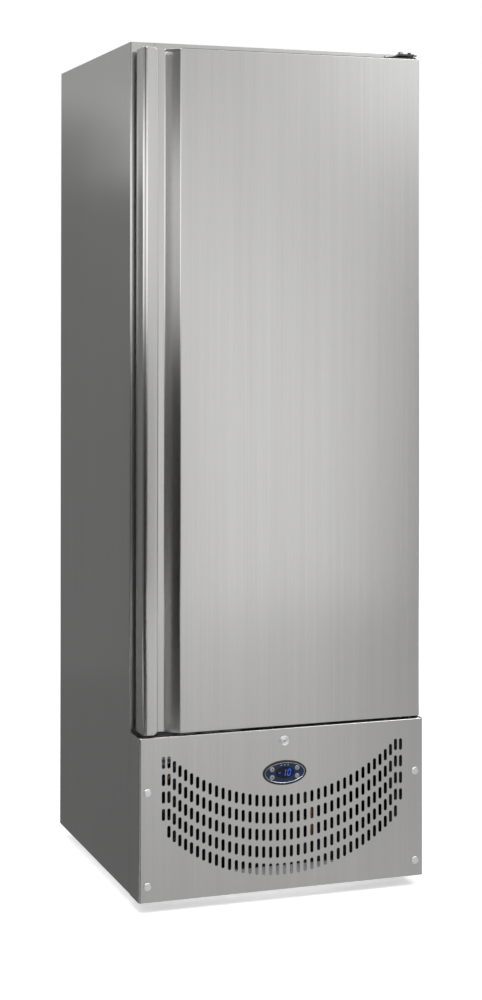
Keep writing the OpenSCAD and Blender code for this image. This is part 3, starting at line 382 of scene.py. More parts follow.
def brushed_steel(t):
    """Stainless sheet with a straight upright brushed grain."""
    hair = t.noise((1600, 1600, 9), detail=2)
    streak = t.noise((260, 260, 1.2), detail=3)
    roll = t.noise((36, 36, 0.6), detail=2)
    cloud = t.noise((2.2, 2.2, 1.4), detail=2)
    tone = roll * 0.35 + streak * 0.4 + hair * 0.2 + cloud * 0.15
    return {"Base Color": t.blend(tone, STEEL_DEEP, STEEL), "Metallic": 1.0,
            "Roughness": (hair - 0.5) * 0.06 + (cloud - 0.5) * 0.04 + 0.20,
            "Anisotropic": 0.55, "Normal": t.relief(hair, 0.00002)}


def zinc_sheet(t):
    """Galvanised sheet: flat crystals of slightly different greys."""
    spangle = t.add("TexVoronoi", {"Vector": t.place((1, 1, 1)), "Scale": 70.0}, out="Color")
    grey = t.add("SeparateColor", {0: spangle})
    dull = t.noise((9, 9, 9), detail=4)
    return {"Base Color": t.blend(grey * 0.6 + dull * 0.4, (0.44, 0.45, 0.46), (0.60, 0.61, 0.62)),
            "Metallic": 0.9, "Roughness": grey * 0.12 + dull * 0.10 + 0.34,
            "Normal": t.relief(grey, 0.00003)}


def plain_steel(t):
    """Zinc plated small parts."""
    wear = t.noise((60, 60, 60), detail=4)
    return {"Base Color": t.blend(wear, (0.32, 0.32, 0.33), (0.46, 0.46, 0.47)), "Metallic": 1.0,
            "Roughness": wear * 0.16 + 0.22}


def satin_plate(t):
    """Satin plating on the lock and the screw caps."""
    haze = t.noise((90, 90, 90), detail=3)
    return {"Base Color": t.blend(haze, (0.74, 0.74, 0.76), (0.84, 0.84, 0.85)), "Metallic": 1.0,
            "Roughness": haze * 0.08 + 0.28}


def plastic(light, dark, gloss, grain=0.00004, size=900.0, coat=0.0, shine=0.5):
    """Moulded plastic with a fine erosion grain."""
    def build(t):
        pit = t.noise((size, size, size), detail=2)
        cloud = t.noise((14, 14, 14), detail=3)
        return {"Base Color": t.blend(cloud, dark, light), "Roughness": cloud * 0.10 + gloss,
                "Coat Weight": coat, "Specular IOR Level": shine, "Normal": t.relief(pit, grain)}
    return build


def baked_paint(light, dark, gloss):
    """Sprayed and baked paint with a little orange peel."""
    def build(t):
        peel = t.noise((420, 420, 420), detail=1)
        dust = t.noise((25, 25, 18), detail=5)
        return {"Base Color": t.blend(dust, dark, light), "Roughness": dust * 0.18 + gloss,
                "Coat Weight": 0.25, "Normal": t.relief(peel, 0.00008)}
    return build


def foam(t):
    cells = t.add("TexVoronoi", {"Vector": t.place((1, 1, 1)), "Scale": 900.0})
    age = t.noise((12, 12, 12), detail=4)
    return {"Base Color": t.blend(age, (0.62, 0.52, 0.30), (0.80, 0.72, 0.50)), "Roughness": 0.9,
            "Normal": t.relief(cells, 0.0003)}


def copper(t):
    tarnish = t.noise((40, 40, 40), detail=5)
    return {"Base Color": t.blend(tarnish, (0.45, 0.20, 0.10), (0.80, 0.42, 0.26)), "Metallic": 1.0,
            "Roughness": tarnish * 0.25 + 0.18}


def aluminium(t):
    rolled = t.noise((300, 20, 20), detail=3)
    return {"Base Color": t.blend(rolled, (0.62, 0.63, 0.64), (0.78, 0.79, 0.80)), "Metallic": 1.0,
            "Roughness": rolled * 0.15 + 0.28}


def dark_glass(t):
    haze = t.noise((120, 120, 120), detail=3)
    return {"Base Color": t.blend(haze, (0.005, 0.006, 0.011), (0.009, 0.011, 0.018)),
            "Roughness": haze * 0.04 + 0.08, "Specular IOR Level": 0.18}


def lit_figures(t):
    core = t.noise((500, 500, 500), detail=1)
    return {"Base Color": (0.01, 0.03, 0.15), "Roughness": 0.4,
            "Emission Color": t.blend(core, (0.004, 0.045, 0.46), (0.012, 0.075, 0.62)),
            "Emission Strength": 1.0}


def soft_seal(t):
    bloom = t.noise((30, 30, 30), detail=4)
    return {"Base Color": t.blend(bloom, (0.045, 0.046, 0.050), (0.075, 0.077, 0.082)),
            "Roughness": bloom * 0.15 + 0.5, "Normal": t.relief(t.noise((700, 700, 700)), 0.00004)}


def coated_wire(t):
    sag = t.noise((120, 120, 120), detail=2)
    return {"Base Color": t.blend(sag, (0.74, 0.75, 0.75), (0.84, 0.85, 0.85)),
            "Roughness": sag * 0.1 + 0.25, "Coat Weight": 0.3, "Normal": t.relief(sag, 0.0001)}


FINISHES = {
    "stainless": finish("brushed_steel", brushed_steel),
    "galvanised": finish("zinc_sheet", zinc_sheet),
    "foam": finish("rigid_foam", foam),
    "liner": finish("pale_liner", plastic((0.80, 0.81, 0.81), (0.75, 0.76, 0.765), 0.28,
                                          grain=0.00006, size=500.0, coat=0.2)),
    "white_plastic": finish("white_plastic", plastic((0.82, 0.82, 0.81), (0.77, 0.77, 0.765), 0.38)),
    "dark_metal": finish("dark_metal", baked_paint((0.13, 0.13, 0.14), (0.08, 0.08, 0.085), 0.38)),
    "chrome_trim": finish("satin_plate", satin_plate),
    "bare_steel": finish("plain_steel", plain_steel),
    "black_plastic": finish("black_plastic", plastic((0.024, 0.024, 0.027), (0.015, 0.015, 0.017), 0.36,
                                                     shine=0.25)),
    "navy_plastic": finish("navy_face", plastic((0.012, 0.026, 0.066), (0.009, 0.019, 0.050), 0.26,
                                                shine=0.2)),
    "display_glass": finish("display_glass", dark_glass),
    "display_light": finish("lit_figures", lit_figures),
    "button_plastic": finish("key_plastic", plastic((0.235, 0.245, 0.27), (0.19, 0.20, 0.22), 0.34,
                                                    coat=0.15)),
    "black_paint": finish("black_paint", baked_paint((0.022, 0.022, 0.024), (0.014, 0.014, 0.015), 0.26)),
    "rubber": finish("black_rubber", plastic((0.030, 0.030, 0.030), (0.020, 0.020, 0.020), 0.65)),
    "copper_fin": finish("coil_paint", baked_paint((0.055, 0.055, 0.06), (0.03, 0.03, 0.033), 0.35)),
    "copper": finish("copper_tube", copper),
    "aluminium": finish("rolled_aluminium", aluminium),
    "fan_plastic": finish("fan_plastic", plastic((0.075, 0.075, 0.082), (0.05, 0.05, 0.055), 0.42)),
    "wire_white": finish("coated_wire", coated_wire),
    "gasket": finish("soft_seal", soft_seal),
}


# The door

LIP_WIDTH, LIP_CORNER = 34 * MM, 11 * MM
GROOVE_WIDTH, GROOVE_DEPTH, SLOPE_WIDTH = 22.6 * MM, 25 * MM, 28.4 * MM
LIP_NOTCH = 8 * MM
LIP_TURN, SLOPE_BEND = 1.2 * MM, 6 * MM
END_FOLD, BACK_RETURN = 1.5 * MM, 12 * MM
DOOR_EDGE, DOOR_BOTTOM, DOOR_TOP = SKIN_HIGH.x, SKIN_LOW.z, SKIN_HIGH.z
DOOR_BACK = SKIN_HIGH.y


def door_line(depth, notch=0.0, back=0.0):
    """The door's outer face seen from above, from right to left, drawn in by depth. It goes
    round to the door's back by the distance back."""
    lip = -DOOR_EDGE + LIP_WIDTH
    slope, floor = lip + GROOVE_WIDTH, FACE + GROOVE_DEPTH
    lip -= notch
    line = [(DOOR_EDGE, DOOR_BACK), (DOOR_EDGE, FACE), (slope + SLOPE_WIDTH, FACE), (slope, floor),
            (lip, floor), (lip, SKIN_LOW.y), (-DOOR_EDGE, SKIN_LOW.y + LIP_TURN), (-DOOR_EDGE, DOOR_BACK)]
    bends = [0, 3 * MM, SLOPE_BEND, SLOPE_BEND, 2.5 * MM, 3 * MM, LIP_CORNER, 0]
    if back:
        line = [(DOOR_EDGE - back, DOOR_BACK)] + line + [(-DOOR_EDGE + back, DOOR_BACK)]
        bends = [0, 2.6 * MM] + bends[1:-1] + [2.6 * MM, 0]
    return inset(rounded(line, bends, 6), depth)


def door_levels(stops):
    """Heights from the bottom to the top of the door, each with its distance from the nearer end."""
    return [(DOOR_BOTTOM + a, a) for a in stops] + [(DOOR_TOP - a, a) for a in reversed(stops)]


def end_fold(a):
    """How far the skin is drawn in at the distance a from the door's end."""
    return END_FOLD - math.sqrt(max(0.0, END_FOLD ** 2 - max(0.0, END_FOLD - a) ** 2))


def lip_notch(a):
    return max(0.0, LIP_NOTCH - a)


def filled_door(depth, a):
    line = door_line(depth, lip_notch(a))
    line[0].y = line[-1].y = DOOR_BACK - 2 * MM
    return line


def make_door():
    skin = Form()
    skin.loft([[(p.x, p.y, z) for p in door_line(end_fold(a), lip_notch(a), BACK_RETURN)
                + door_line(end_fold(a) + SHEET, lip_notch(a), BACK_RETURN)[::-1]]
               for z, a in door_levels([0, 0.2 * MM, 0.66 * MM, END_FOLD, LIP_NOTCH])])
    piece("door_skin_sheet", skin, "stainless", "door", ["door_skin"])

    caps = Form()
    bolt_low, bolt_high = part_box("lock_strike")
    inlet = rect_hole(bolt_low.x + SHEET, bolt_high.x - SHEET, bolt_low.y + SHEET, bolt_high.y - SHEET)
    edge = lambda grow: filled_door(END_FOLD + SHEET - grow, 0)
    caps.plate(edge, [inlet], in_xy(DOOR_BOTTOM + 0.2 * MM, DOOR_BOTTOM + 1.2 * MM), 0.2 * MM)
    caps.plate(edge, [], in_xy(DOOR_TOP - 0.2 * MM, DOOR_TOP - 1.2 * MM), 0.2 * MM)
    reach, rise = DOOR_EDGE - BACK_RETURN - 0.2 * MM, BACK_RETURN + 0.4 * MM
    for low, high in ((DOOR_BOTTOM + 0.25 * MM, DOOR_BOTTOM + rise),
                      (DOOR_TOP - rise, DOOR_TOP - 0.25 * MM)):
        caps.block((-reach, DOOR_BACK - 2.1 * MM, low), (reach, DOOR_BACK, high))
    piece("door_end_sheets", caps, "stainless", "door", ["door_end_caps"])

    core = Form()
    pocket = rect_hole(bolt_low.x, bolt_high.x, bolt_low.y, bolt_high.y)
    inner = SHEET + 0.3 * MM
    core.plate(lambda grow: filled_door(inner, 0), [pocket], in_xy(DOOR_BOTTOM + 1.4 * MM, bolt_high.z))
    levels = [(bolt_high.z, LIP_NOTCH), (DOOR_TOP - LIP_NOTCH, LIP_NOTCH), (DOOR_TOP - 1.4 * MM, 0)]
    core.loft([[(p.x, p.y, z) for p in filled_door(inner, a)] for z, a in levels])
    piece("door_foam_core", core, "foam", "door", ["door_foam"])

    # A thin dark strip in the gasket finish runs along the top of the door, 1.1 mm above it and just behind
    # the face. It draws a dark line between the door's top and the header.
    seal = Form()
    start, end = -DOOR_EDGE + LIP_WIDTH + GROOVE_WIDTH + SLOPE_WIDTH, DOOR_EDGE - 6 * MM
    seal.block((start, FACE + 1.6 * MM, DOOR_TOP - 0.1 * MM), (end, FACE + 4.6 * MM, DOOR_TOP + 1.1 * MM))
    piece("door_top_dark_line", seal, "gasket", "door", edge=0.3 * MM)
    make_door_back()


def make_door_back():
    """The moulded inner panel and the magnetic seal round it."""
    def ring(d, out, r):
        return frame_ring(-DOOR_EDGE + d, DOOR_EDGE - d, DOOR_BOTTOM + d, DOOR_TOP - d, r, DOOR_BACK + out)
    panel = Form()
    steps = [(12.8, -2, 4), (12.7, -0.4, 4), (13.1, 0, 4.4), (46.5, 0, 9), (48.3, 0.5, 10),
             (49.2, 2, 11), (50.6, 10, 13), (51.6, 11.5, 14), (54, 12, 16), (84, 12, 22),
             (86.5, 11.4, 24), (88.4, 9.5, 26), (91, 5, 28), (93, 3.6, 30), (96, 3, 32),
             (150, 3, 40), (152, 3.6, 40), (156, 3.6, 40), (158, 3, 40), (162, 3, 40)]
    panel.loft([ring(d * MM, out * MM, r * MM) for d, out, r in steps])
    piece("door_inner_panel", panel, "liner", "door", ["door_liner"], smooth=60)

    low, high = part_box("door_gasket")
    tall = high.y - low.y
    seal = [(2, 0), (23, 0), (23, 0.08), (16.5, 0.11), (19.6, 0.2), (20.6, 0.3), (17.6, 0.42), (21, 0.5),
            (24.2, 0.58), (25, 0.66), (25, 0.93), (24, 1), (1, 1), (0, 0.93), (0, 0.66), (0.8, 0.58),
            (4, 0.5), (7.4, 0.42), (4.4, 0.3), (5.4, 0.2), (8.5, 0.11), (2, 0.08)]
    rings = []
    for u, h in seal:
        x0, x1 = low.x + u * MM, high.x - u * MM
        z0, z1 = low.z + u * MM, high.z - u * MM
        y = low.y + h * tall
        rings.append([(x, y, z) for x, z in rectangle(x0, x1, z0, z1)])
    piece("door_seal", Form().loft(rings + rings[:1], caps=False), "gasket", "door",
          ["door_gasket"], edge=0.3 * MM, smooth=50)


# The front cover

COVER_BEND, COVER_SHEET, COVER_CORNER, COVER_FOLD = 2 * MM, 1.2 * MM, 6 * MM, 14 * MM
COVER_EASE = 1.2 * MM
SLOT_ARC, SLOT_STEP, SLOT_CURVED = 400 * MM, math.radians(2.37), 18
SLOT_WIDTH, SLOT_LENGTH, SLOT_PITCH = 7.8 * MM, 26.5 * MM, 38 * MM
SLOT_TOP, SLOT_OUTER, SLOT_ROWS = 148.7 * MM, 12.6 * MM, 5
LOCK_AT, LOCK_HOLE_R = COVER_HIGH.z - 28 * MM, 9.2 * MM
CONTROLLER_CUT = (96 * MM, 47 * MM)
SCREW_CAP_R = 8.75 * MM
RING_LOW, RING_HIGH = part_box("controller_ring")
PANEL_AT = (RING_LOW.z + RING_HIGH.z) / 2
PANEL_SIZE = (RING_HIGH.x - RING_LOW.x, RING_HIGH.z - RING_LOW.z)


def rect_hole(x0, x1, y0, y1):
    return lambda grow: rectangle(x0 - grow, x1 + grow, y0 - grow, y1 + grow)


def round_hole(x, y, r, steps=40):
    return lambda grow: [(x + p.x, y + p.y) for p in oval(2 * (r + grow), 2 * (r + grow), steps)]


def slot_hole(x, y, width, length):
    """An upright slot with round ends, middle at (x, y)."""
    steps = 6

    def loop(grow):
        r, reach = width / 2 + grow, (length - width) / 2
        points = []
        for side, start in ((1, 0), (-1, math.pi)):
            for i in range(steps + 1):
                a = start + math.pi * i / steps
                points.append((x + r * math.cos(a), y + side * reach + r * math.sin(a)))
        return points
    return loop


def air_slots():
    """The curved rows of air slots, with a shorter column outside each end."""
    slots = []
    for k in range(-SLOT_CURVED - 1, SLOT_CURVED + 2):
        angle = min(abs(k), SLOT_CURVED) * SLOT_STEP
        outer = abs(k) > SLOT_CURVED
        x = math.copysign(SLOT_ARC * math.sin(angle) + (SLOT_OUTER if outer else 0), k)
        top = COVER_HIGH.z - SLOT_TOP - SLOT_LENGTH / 2 + SLOT_ARC * (1 - math.cos(angle))
        slots += [slot_hole(x, top - SLOT_PITCH * row, SLOT_WIDTH, SLOT_LENGTH)
                  for row in range(SLOT_ROWS - outer)]
    return slots


def make_cover():
    form = Form()
    x0, x1 = COVER_LOW.x + COVER_CORNER, COVER_HIGH.x - COVER_CORNER
    z0, z1 = COVER_LOW.z + COVER_BEND, COVER_HIGH.z - COVER_BEND
    w, h = CONTROLLER_CUT
    cut = lambda grow: [(p.x, PANEL_AT + p.y) for p in oval(w + 2 * grow, h + 2 * grow, 60)]
    holes = air_slots() + [cut, round_hole(0, LOCK_AT, LOCK_HOLE_R)]
    form.plate(lambda grow: rectangle(x0, x1, z0, z1), holes, in_xz(FACE, FACE + COVER_SHEET),
               rim=False, bored=False)
    # The walls of every hole in the cover get the dark_metal finish. This is painted shade: the bare cut
    # steel of these walls is drawn dark so that they show no glints and the slots look black.
    edges = Form()
    for hole in holes:
        edges.loft([[(p[0], y, p[1]) for p in hole(0)] for y in (FACE, FACE + COVER_SHEET)], caps=False)
    piece("cover_cut_edges_painted_shade", edges, "dark_metal", "cabinet")
    for side in (-1, 1):
        edge = z1 if side > 0 else z0
        bend = rounded([(FACE, edge - side * 3 * COVER_BEND), (FACE, edge + side * COVER_BEND),
                        (FACE + COVER_FOLD, edge + side * COVER_BEND)], COVER_BEND, 6)
        strip = bend[1:] + inset(bend, side * COVER_SHEET)[:0:-1]
        form.loft([[(x, p.x, p.y) for x in (x0, x1)] for p in strip], around=False, caps=False)
        for x in (x0, x1):
            form.face([(x, p.x, p.y) for p in strip])
    back = COVER_HIGH.y
    for side in (-1, 1):
        edge = COVER_HIGH.x
        outer = rounded([(side * (x1 - 3 * COVER_CORNER), FACE), (side * edge, FACE),
                         (side * edge, back - COVER_EASE), (side * (edge - COVER_EASE / 2), back)],
                        COVER_CORNER, 10)
        section = lambda d: inset(outer, -side * d)[1:] + inset(outer, -side * COVER_SHEET)[:0:-1]
        ease = [(0, 0.9), (0.35, 0.4), (1.0, 0.1), (2.0, 0)]
        rows = [(COVER_LOW.z + a * MM, d * MM) for a, d in ease]
        rows += [(COVER_HIGH.z - a * MM, d * MM) for a, d in reversed(ease)]
        rings = [[(p.x, p.y, z) for p in section(d)] for z, d in rows]
        form.loft(rings, around=False, caps=False)
        for ring in (rings[0], rings[-1]):
            form.face(ring)
        for lower, upper in ((0, 3), (4, 7)):
            rise = range(lower, upper + 1)
            form.face([rings[i][0] for i in rise] + [rings[i][-1] for i in reversed(rise)])
    piece("front_cover_sheet", form, "stainless", "cabinet", ["front_cover"])

    caps = Form()
    dome = [(0, 1.5), (4.8, 1.46), (6.6, 1.4), (7.6, 1.24), (8.3, 0.95), (8.65, 0.55), (8.75, 0.2),
            (8.75, 0)]
    low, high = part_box("cover_screws")
    for x, z in four_spots(low.xz, high.xz, SCREW_CAP_R):
        caps.lathe((x, FACE, z), FRONT, mm(dome), 36)
    piece("cover_screw_caps", caps, "chrome_trim", "cabinet", ["cover_screws"])


# Lock and controller

PLUG_R, BARREL_R, COLLAR_R, BARREL_LENGTH = 6.4 * MM, 9 * MM, 11.4 * MM, 20 * MM
GUIDE_FRONT, GUIDE_LOW, GUIDE_HIGH, BOLT_HALF, BOLT_GAP = 14.6 * MM, 14 * MM, 24 * MM, 6 * MM, 0.3 * MM


def make_lock():
    form = Form()
    bore = PLUG_R + 0.05 * MM
    section = [(bore, -BARREL_LENGTH), (BARREL_R, -BARREL_LENGTH), (BARREL_R, 0), (COLLAR_R, 0.01 * MM)]
    section += mm([(11.4, 1.1), (11.15, 1.7), (10.5, 2.08), (9.6, 2.2), (8.6, 2.02), (7.7, 1.55),
                   (7.0, 1.3), (6.6, 1.22)])
    section += [(bore, 1.1 * MM)]
    form.lathe((0, FACE, LOCK_AT), FRONT, section, 56, closed=True)
    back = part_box("lock_housing")[1].y
    bolt_low, bolt_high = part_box("lock_bolt")
    front, reach = FACE + GUIDE_FRONT, BOLT_HALF + BOLT_GAP
    form.block((-BARREL_R, front, LOCK_AT + BARREL_R - 4 * MM),
               (BARREL_R, FACE + BARREL_LENGTH, LOCK_AT + GUIDE_LOW))
    form.plate(rect_hole(-BARREL_R, BARREL_R, front, back),
               [rect_hole(-reach, reach, bolt_low.y - BOLT_GAP, bolt_high.y + BOLT_GAP)],
               in_xy(LOCK_AT + GUIDE_HIGH, LOCK_AT + GUIDE_LOW), 0.3 * MM)
    piece("lock_collar_and_barrel", form, "chrome_trim", "cabinet", ["lock_housing"])


PLATE_FRONT = FACE - 1.6 * MM


def oval_rings(rows):
    """Ovals that are smaller than the controller by d all round, standing proud of the cover."""
    rings = []
    for d, proud in rows:
        flat = oval(PANEL_SIZE[0] - 2 * d * MM, PANEL_SIZE[1] - 2 * d * MM, 96)
        rings.append([(p.x, FACE - proud * MM, PANEL_AT + p.y) for p in flat])
    return rings


def bar_of_light(a, b, half):
    """A flat bar with pointed ends from a to b, leaning to the right."""
    a, b = Vector(a), Vector(b)
    along = (b - a).normalized() * half
    side = Vector((-along.y, along.x))
    points = [a, a + along + side, b - along + side, b, b - along - side, a + along - side]
    return [((p.x + p.y * 0.16) * MM, PANEL_AT + p.y * MM) for p in points]


def make_controller():
    ring = [(0, -0.01), (0, 1.4), (0.3, 2.1), (1.0, 2.6), (2.1, 2.8), (3.4, 2.7), (4.3, 2.3), (4.9, 1.7),
            (5.75, 1.5), (5.75, -7), (4.2, -7), (4.2, -0.01)]
    rings = oval_rings(ring)
    piece("controller_bezel", Form().loft(rings + rings[:1], caps=False), "black_plastic", "cabinet",
          ["controller_ring"])
    bead = oval_rings([(4.7, 1.6), (4.75, 2.1), (5.0, 2.4), (5.4, 2.42), (5.7, 2.15), (5.8, 1.6)])
    piece("controller_silver_line", Form().loft(bead + bead[:1], caps=False), "chrome_trim", "cabinet")

    bars = [((-15.4, 0), (-9.5, 0)), ((1.5, -7.6), (1.5, -0.3)), ((1.5, 0.3), (1.5, 7.6)),
            ((7.3, -7), (13.3, -7)), ((7.3, 7), (13.3, 7)),
            ((7.1, -6.8), (7.1, -0.3)), ((7.1, 0.3), (7.1, 6.8)),
            ((13.5, -6.8), (13.5, -0.3)), ((13.5, 0.3), (13.5, 6.8))]
    figures = Form()
    for a, b in bars:
        figures.prism(bar_of_light(a, b, 1.05), in_xz(PLATE_FRONT - 0.2 * MM, PLATE_FRONT + 0.2 * MM))
    piece("lit_minus_ten", figures, "display_light", "cabinet", ["display_figures"])
    lamps = Form()
    for x in (-8, 0, 8):
        lamps.lathe((x * MM, PLATE_FRONT, PANEL_AT + 17.2 * MM), FRONT,
                    mm([(0, 0.35), (0.8, 0.3), (1.3, 0.18), (1.55, 0), (1.55, -0.5)]), 20)
    piece("status_lamps", lamps, "button_plastic", "cabinet")


KEY_SIGN_OUT, KEY_SIGN_IN = 2.56 * MM, 2.3 * MM


def key_signs():
    """What is printed on each key, as outlines in millimetres."""
    turns = [math.radians(50 + 260 * i / 16) for i in range(17)]
    broken_ring = [(2 * math.sin(a), 2 * math.cos(a)) for a in turns]
    broken_ring += [(1.4 * math.sin(a), 1.4 * math.cos(a)) for a in reversed(turns)]
    return {"up": [[(-2, -1.2), (2, -1.2), (0, 2)]],
            "down": [[(-2, 1.2), (0, -2), (2, 1.2)]],
            "set": [rectangle(-1.9, 1.9, v, v + 0.7) for v in (-1.8, -0.35, 1.1)],
            "standby": [broken_ring, rectangle(-0.35, 0.35, 0.3, 2.4)]}


def make_keys():
    dome = [(0, 2.5), (2.4, 2.47), (4.0, 2.34), (5.0, 2.0), (5.5, 1.4), (5.72, 0.8), (5.75, 0.2),
            (5.75, -6.6)]
    for key, outlines in key_signs().items():
        x, z = middle("button_" + key).xz
        body = Form().lathe((x, FACE, z), FRONT, mm(dome), 40)
        piece("key_" + key, body, "button_plastic", "button_" + key, ["button_" + key])
        sign = Form()
        for outline in outlines:
            sign.prism([(x + u * MM, z + v * MM) for u, v in outline],
                       in_xz(FACE - KEY_SIGN_OUT, FACE - KEY_SIGN_IN))
        piece("key_sign_" + key, sign, "black_plastic", "button_" + key)


# Hinge screws, feet and small fastenings

def screw_head(form, centre, axis, r, tall):
    """A pan head with a dished recess."""
    shape = [(0, 0.45), (0.38, 0.45), (0.42, 0.96), (0.6, 1), (0.86, 0.78), (0.98, 0.4), (1, 0.12), (1, 0)]
    form.lathe(centre, axis, [(a * r, b * tall) for a, b in shape], 28)


def hexagon(x, y, r):
    return [(x + r * math.cos(a), y + r * math.sin(a)) for a in (math.pi / 3 * k for k in range(6))]


def make_hinge_screws():
    low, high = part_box("hinge_screws")
    plate_low, plate_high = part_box("hinge_plate_screw")
    arm_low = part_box("top_hinge_bracket")[0]
    pivot_y = (plate_low.y + plate_high.y) / 2
    bolt_x, bolt_top = DOOR_EDGE - 34 * MM, high.z
    form = Form()
    form.prism(hexagon(bolt_x, pivot_y, 6.5 * MM), in_xy(bolt_top - 5 * MM, bolt_top - 0.4 * MM))
    form.lathe((bolt_x, pivot_y, bolt_top - 0.4 * MM), UP, mm([(0, 0.4), (4.7, 0.4), (5.6, 0)]), 28)
    heads = [(SIDE_RIGHT - 28 * MM, low.z + 6 * MM), (SIDE_RIGHT - 28 * MM, low.z + 24 * MM)]
    heads += [(SIDE_RIGHT - x * MM, arm_low.z + 11 * MM) for x in (40, 18)]
    for x, z in heads:
        screw_head(form, (x, SIDE_LOW.y - 3.3 * MM, z), FRONT, 6 * MM, 2.5 * MM)
    piece("hinge_screw_heads", form, "bare_steel", "cabinet", ["hinge_screws"], edge=0.3 * MM)
    fixing = Form()
    centre = ((plate_low.x + plate_high.x) / 2, pivot_y, plate_high.z - 4.5 * MM)
    screw_head(fixing, centre, UP, 7 * MM, 4.5 * MM)
    piece("hinge_plate_screw_head", fixing, "bare_steel", "door", ["hinge_plate_screw"])


FOOT_R, NUT_R, NUT_LOW, NUT_HIGH = 20 * MM, 10.2 * MM, 28.6 * MM, 34.5 * MM


def make_feet():
    low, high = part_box("levelling_feet")
    pad = [(0, 0), (18.4, 0), (19.5, 0.5), (20, 1.7), (20, 5.6), (19.4, 7.4), (17, 8.7), (11, 9.2),
           (8.4, 10.4), (8, 12)]
    thread = [pair for k in range(7) for pair in ((6.1, 12.2 + k * 1.2), (5.4, 12.8 + k * 1.2))]
    collar = [(6, 21), (12.6, 21), (13.3, 21.6), (13.3, 26.4), (12.6, 27), (5.9, 27), (5.9, 41), (0, 41)]
    form = Form()
    for x, y in four_spots(low, high, FOOT_R):
        form.lathe((x, y, 0), UP, mm(pad + thread + collar), 40)
        form.prism(hexagon(x, y, NUT_R), in_xy(NUT_LOW, NUT_HIGH))
    piece("levelling_feet_turned", form, "dark_metal", "cabinet", ["levelling_feet"])


def make_back_screws():
    """Small screws round the rear panel and the grille."""
    form = Form()
    y = SIDE_HIGH.y - SHEET
    panel_low, panel_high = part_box("rear_panel")
    grille_low, grille_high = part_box("rear_grille")
    edges = [panel_high.z - 18 * MM, panel_low.z + 18 * MM, grille_high.z - 14 * MM, grille_low.z + 14 * MM]
    spots = [(x, z) for x in (-1, -0.34, 0.34, 1) for z in edges]
    spots += [(x, z) for x in (-1, 1) for z in (0.8, 1.15, 1.5)]
    for x, z in spots:
        screw_head(form, (x * (SIDE_RIGHT - 30 * MM), y, z), BACK, 4.5 * MM, 0.9 * MM)
    piece("back_screws", form, "bare_steel", "cabinet")


VENT_LOW, VENT_HIGH, VENT_PITCH, VENT_SPAN = 70 * MM, 40 * MM, 14 * MM, 300 * MM


def make_louvres():
    """Long strips inside the rear grille, one above the lower edge of each row of vents."""
    low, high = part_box("rear_grille")
    first, pitch, half = low.z + VENT_LOW, VENT_PITCH, VENT_SPAN / 2
    rows = int((high.z - low.z - VENT_LOW - VENT_HIGH) / pitch + 0.001)
    form = Form()
    for row in range(rows):
        z = first + row * pitch - 1 * MM
        ring = mm([(0.2, 0), (7, 9.5), (7.7, 9), (1.3, 0)])
        form.loft([[(x, low.y - a, z + b) for a, b in ring] for x in (-half, half)])
    piece("rear_louvres", form, "galvanised", "cabinet", edge=0)


# Machine bay

COMP_LOW, COMP_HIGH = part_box("compressor")
COMP_AT = middle("compressor")
COIL_LOW, COIL_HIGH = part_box("condenser_coil")
COIL_ROWS = 8
COIL_PITCH = (COIL_HIGH.z - COIL_LOW.z) / COIL_ROWS
COIL_Y = (COIL_LOW.y + COIL_HIGH.y) / 2
SHELL_TALL, FOOT_PLATE, STUB_LEFT, STUB_RIGHT = 178 * MM, 3 * MM, 20 * MM, 24 * MM
SHELL_BASE = COMP_LOW.z + FOOT_PLATE
TUBE_R, PIPE_R = 4.5 * MM, 4 * MM
COIL_X = COIL_LOW.x + COIL_PITCH / 2 + TUBE_R


def arc_rows(cx, cz, r, start, end, steps=7):
    """Points of a circular arc as (radius, height) pairs."""
    return [(cx + r * math.cos(math.radians(start + (end - start) * i / steps)),
             cz + r * math.sin(math.radians(start + (end - start) * i / steps))) for i in range(steps + 1)]


def make_compressor():
    shell = [(0, 0)] + arc_rows(50, 26, 26, -90, 0)
    shell += [(76, 95), (77.6, 96.2), (79, 98), (79, 102.4), (77.6, 104.2), (76, 105.4)]
    shell += arc_rows(36, 138, 40, 0, 90, 9) + [(0, 178)]
    form = Form().lathe((COMP_AT.x, COMP_AT.y, SHELL_BASE), UP, mm(shell), 64)
    for x in (COMP_AT.x - STUB_LEFT, COMP_AT.x + STUB_RIGHT):
        form.lathe((x, COMP_AT.y, SHELL_BASE + SHELL_TALL - 8 * MM), UP,
                   mm([(9, 0), (8.4, 7.7), (5.4, 10.4), (0, 10.5)]), 24)
    plate = rectangle(COMP_LOW.x, COMP_HIGH.x, COMP_LOW.y, COMP_HIGH.y)
    form.prism(rounded(plate, 14 * MM, 6, closed=True), in_xy(COMP_LOW.z, COMP_LOW.z + FOOT_PLATE))
    piece("compressor_shell", form, "black_paint", "cabinet", ["compressor"], edge=0.5 * MM)

    mounts = Form()
    low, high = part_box("compressor_mounts")
    grommet = [(0, 0), (11.4, 0), (12, 0.8), (12, 4), (10.6, 5.6), (10.6, 7.4), (12, 9), (12, 13),
               (10.6, 14.6), (10.6, 16.4), (12, 18), (12, 21.2), (11.4, 22), (7, 22), (7, 26), (9.4, 26),
               (10, 26.8), (10, 29), (9, 29.8), (0, 30)]
    for x, y in four_spots(low, high, 12 * MM):
        mounts.lathe((x, y, low.z), UP, mm(grommet), 28)
    piece("rubber_mounts", mounts, "rubber", "cabinet", ["compressor_mounts"])

    low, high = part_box("terminal_box")
    bends = [8 * MM, 1 * MM, 1 * MM, 8 * MM]
    box = rounded(rectangle(low.x, high.x, low.y, high.y), bends, 5, closed=True)
    lid = Form().prism(box, in_xy(low.z, high.z))
    lid.lathe((low.x, (low.y + high.y) / 2, high.z - 14 * MM), LEFT,
              mm([(0, 0.01), (3, 0.01), (3, -4)]), 20)
    piece("terminal_cover", lid, "black_plastic", "cabinet", ["terminal_box"], edge=1.2 * MM)


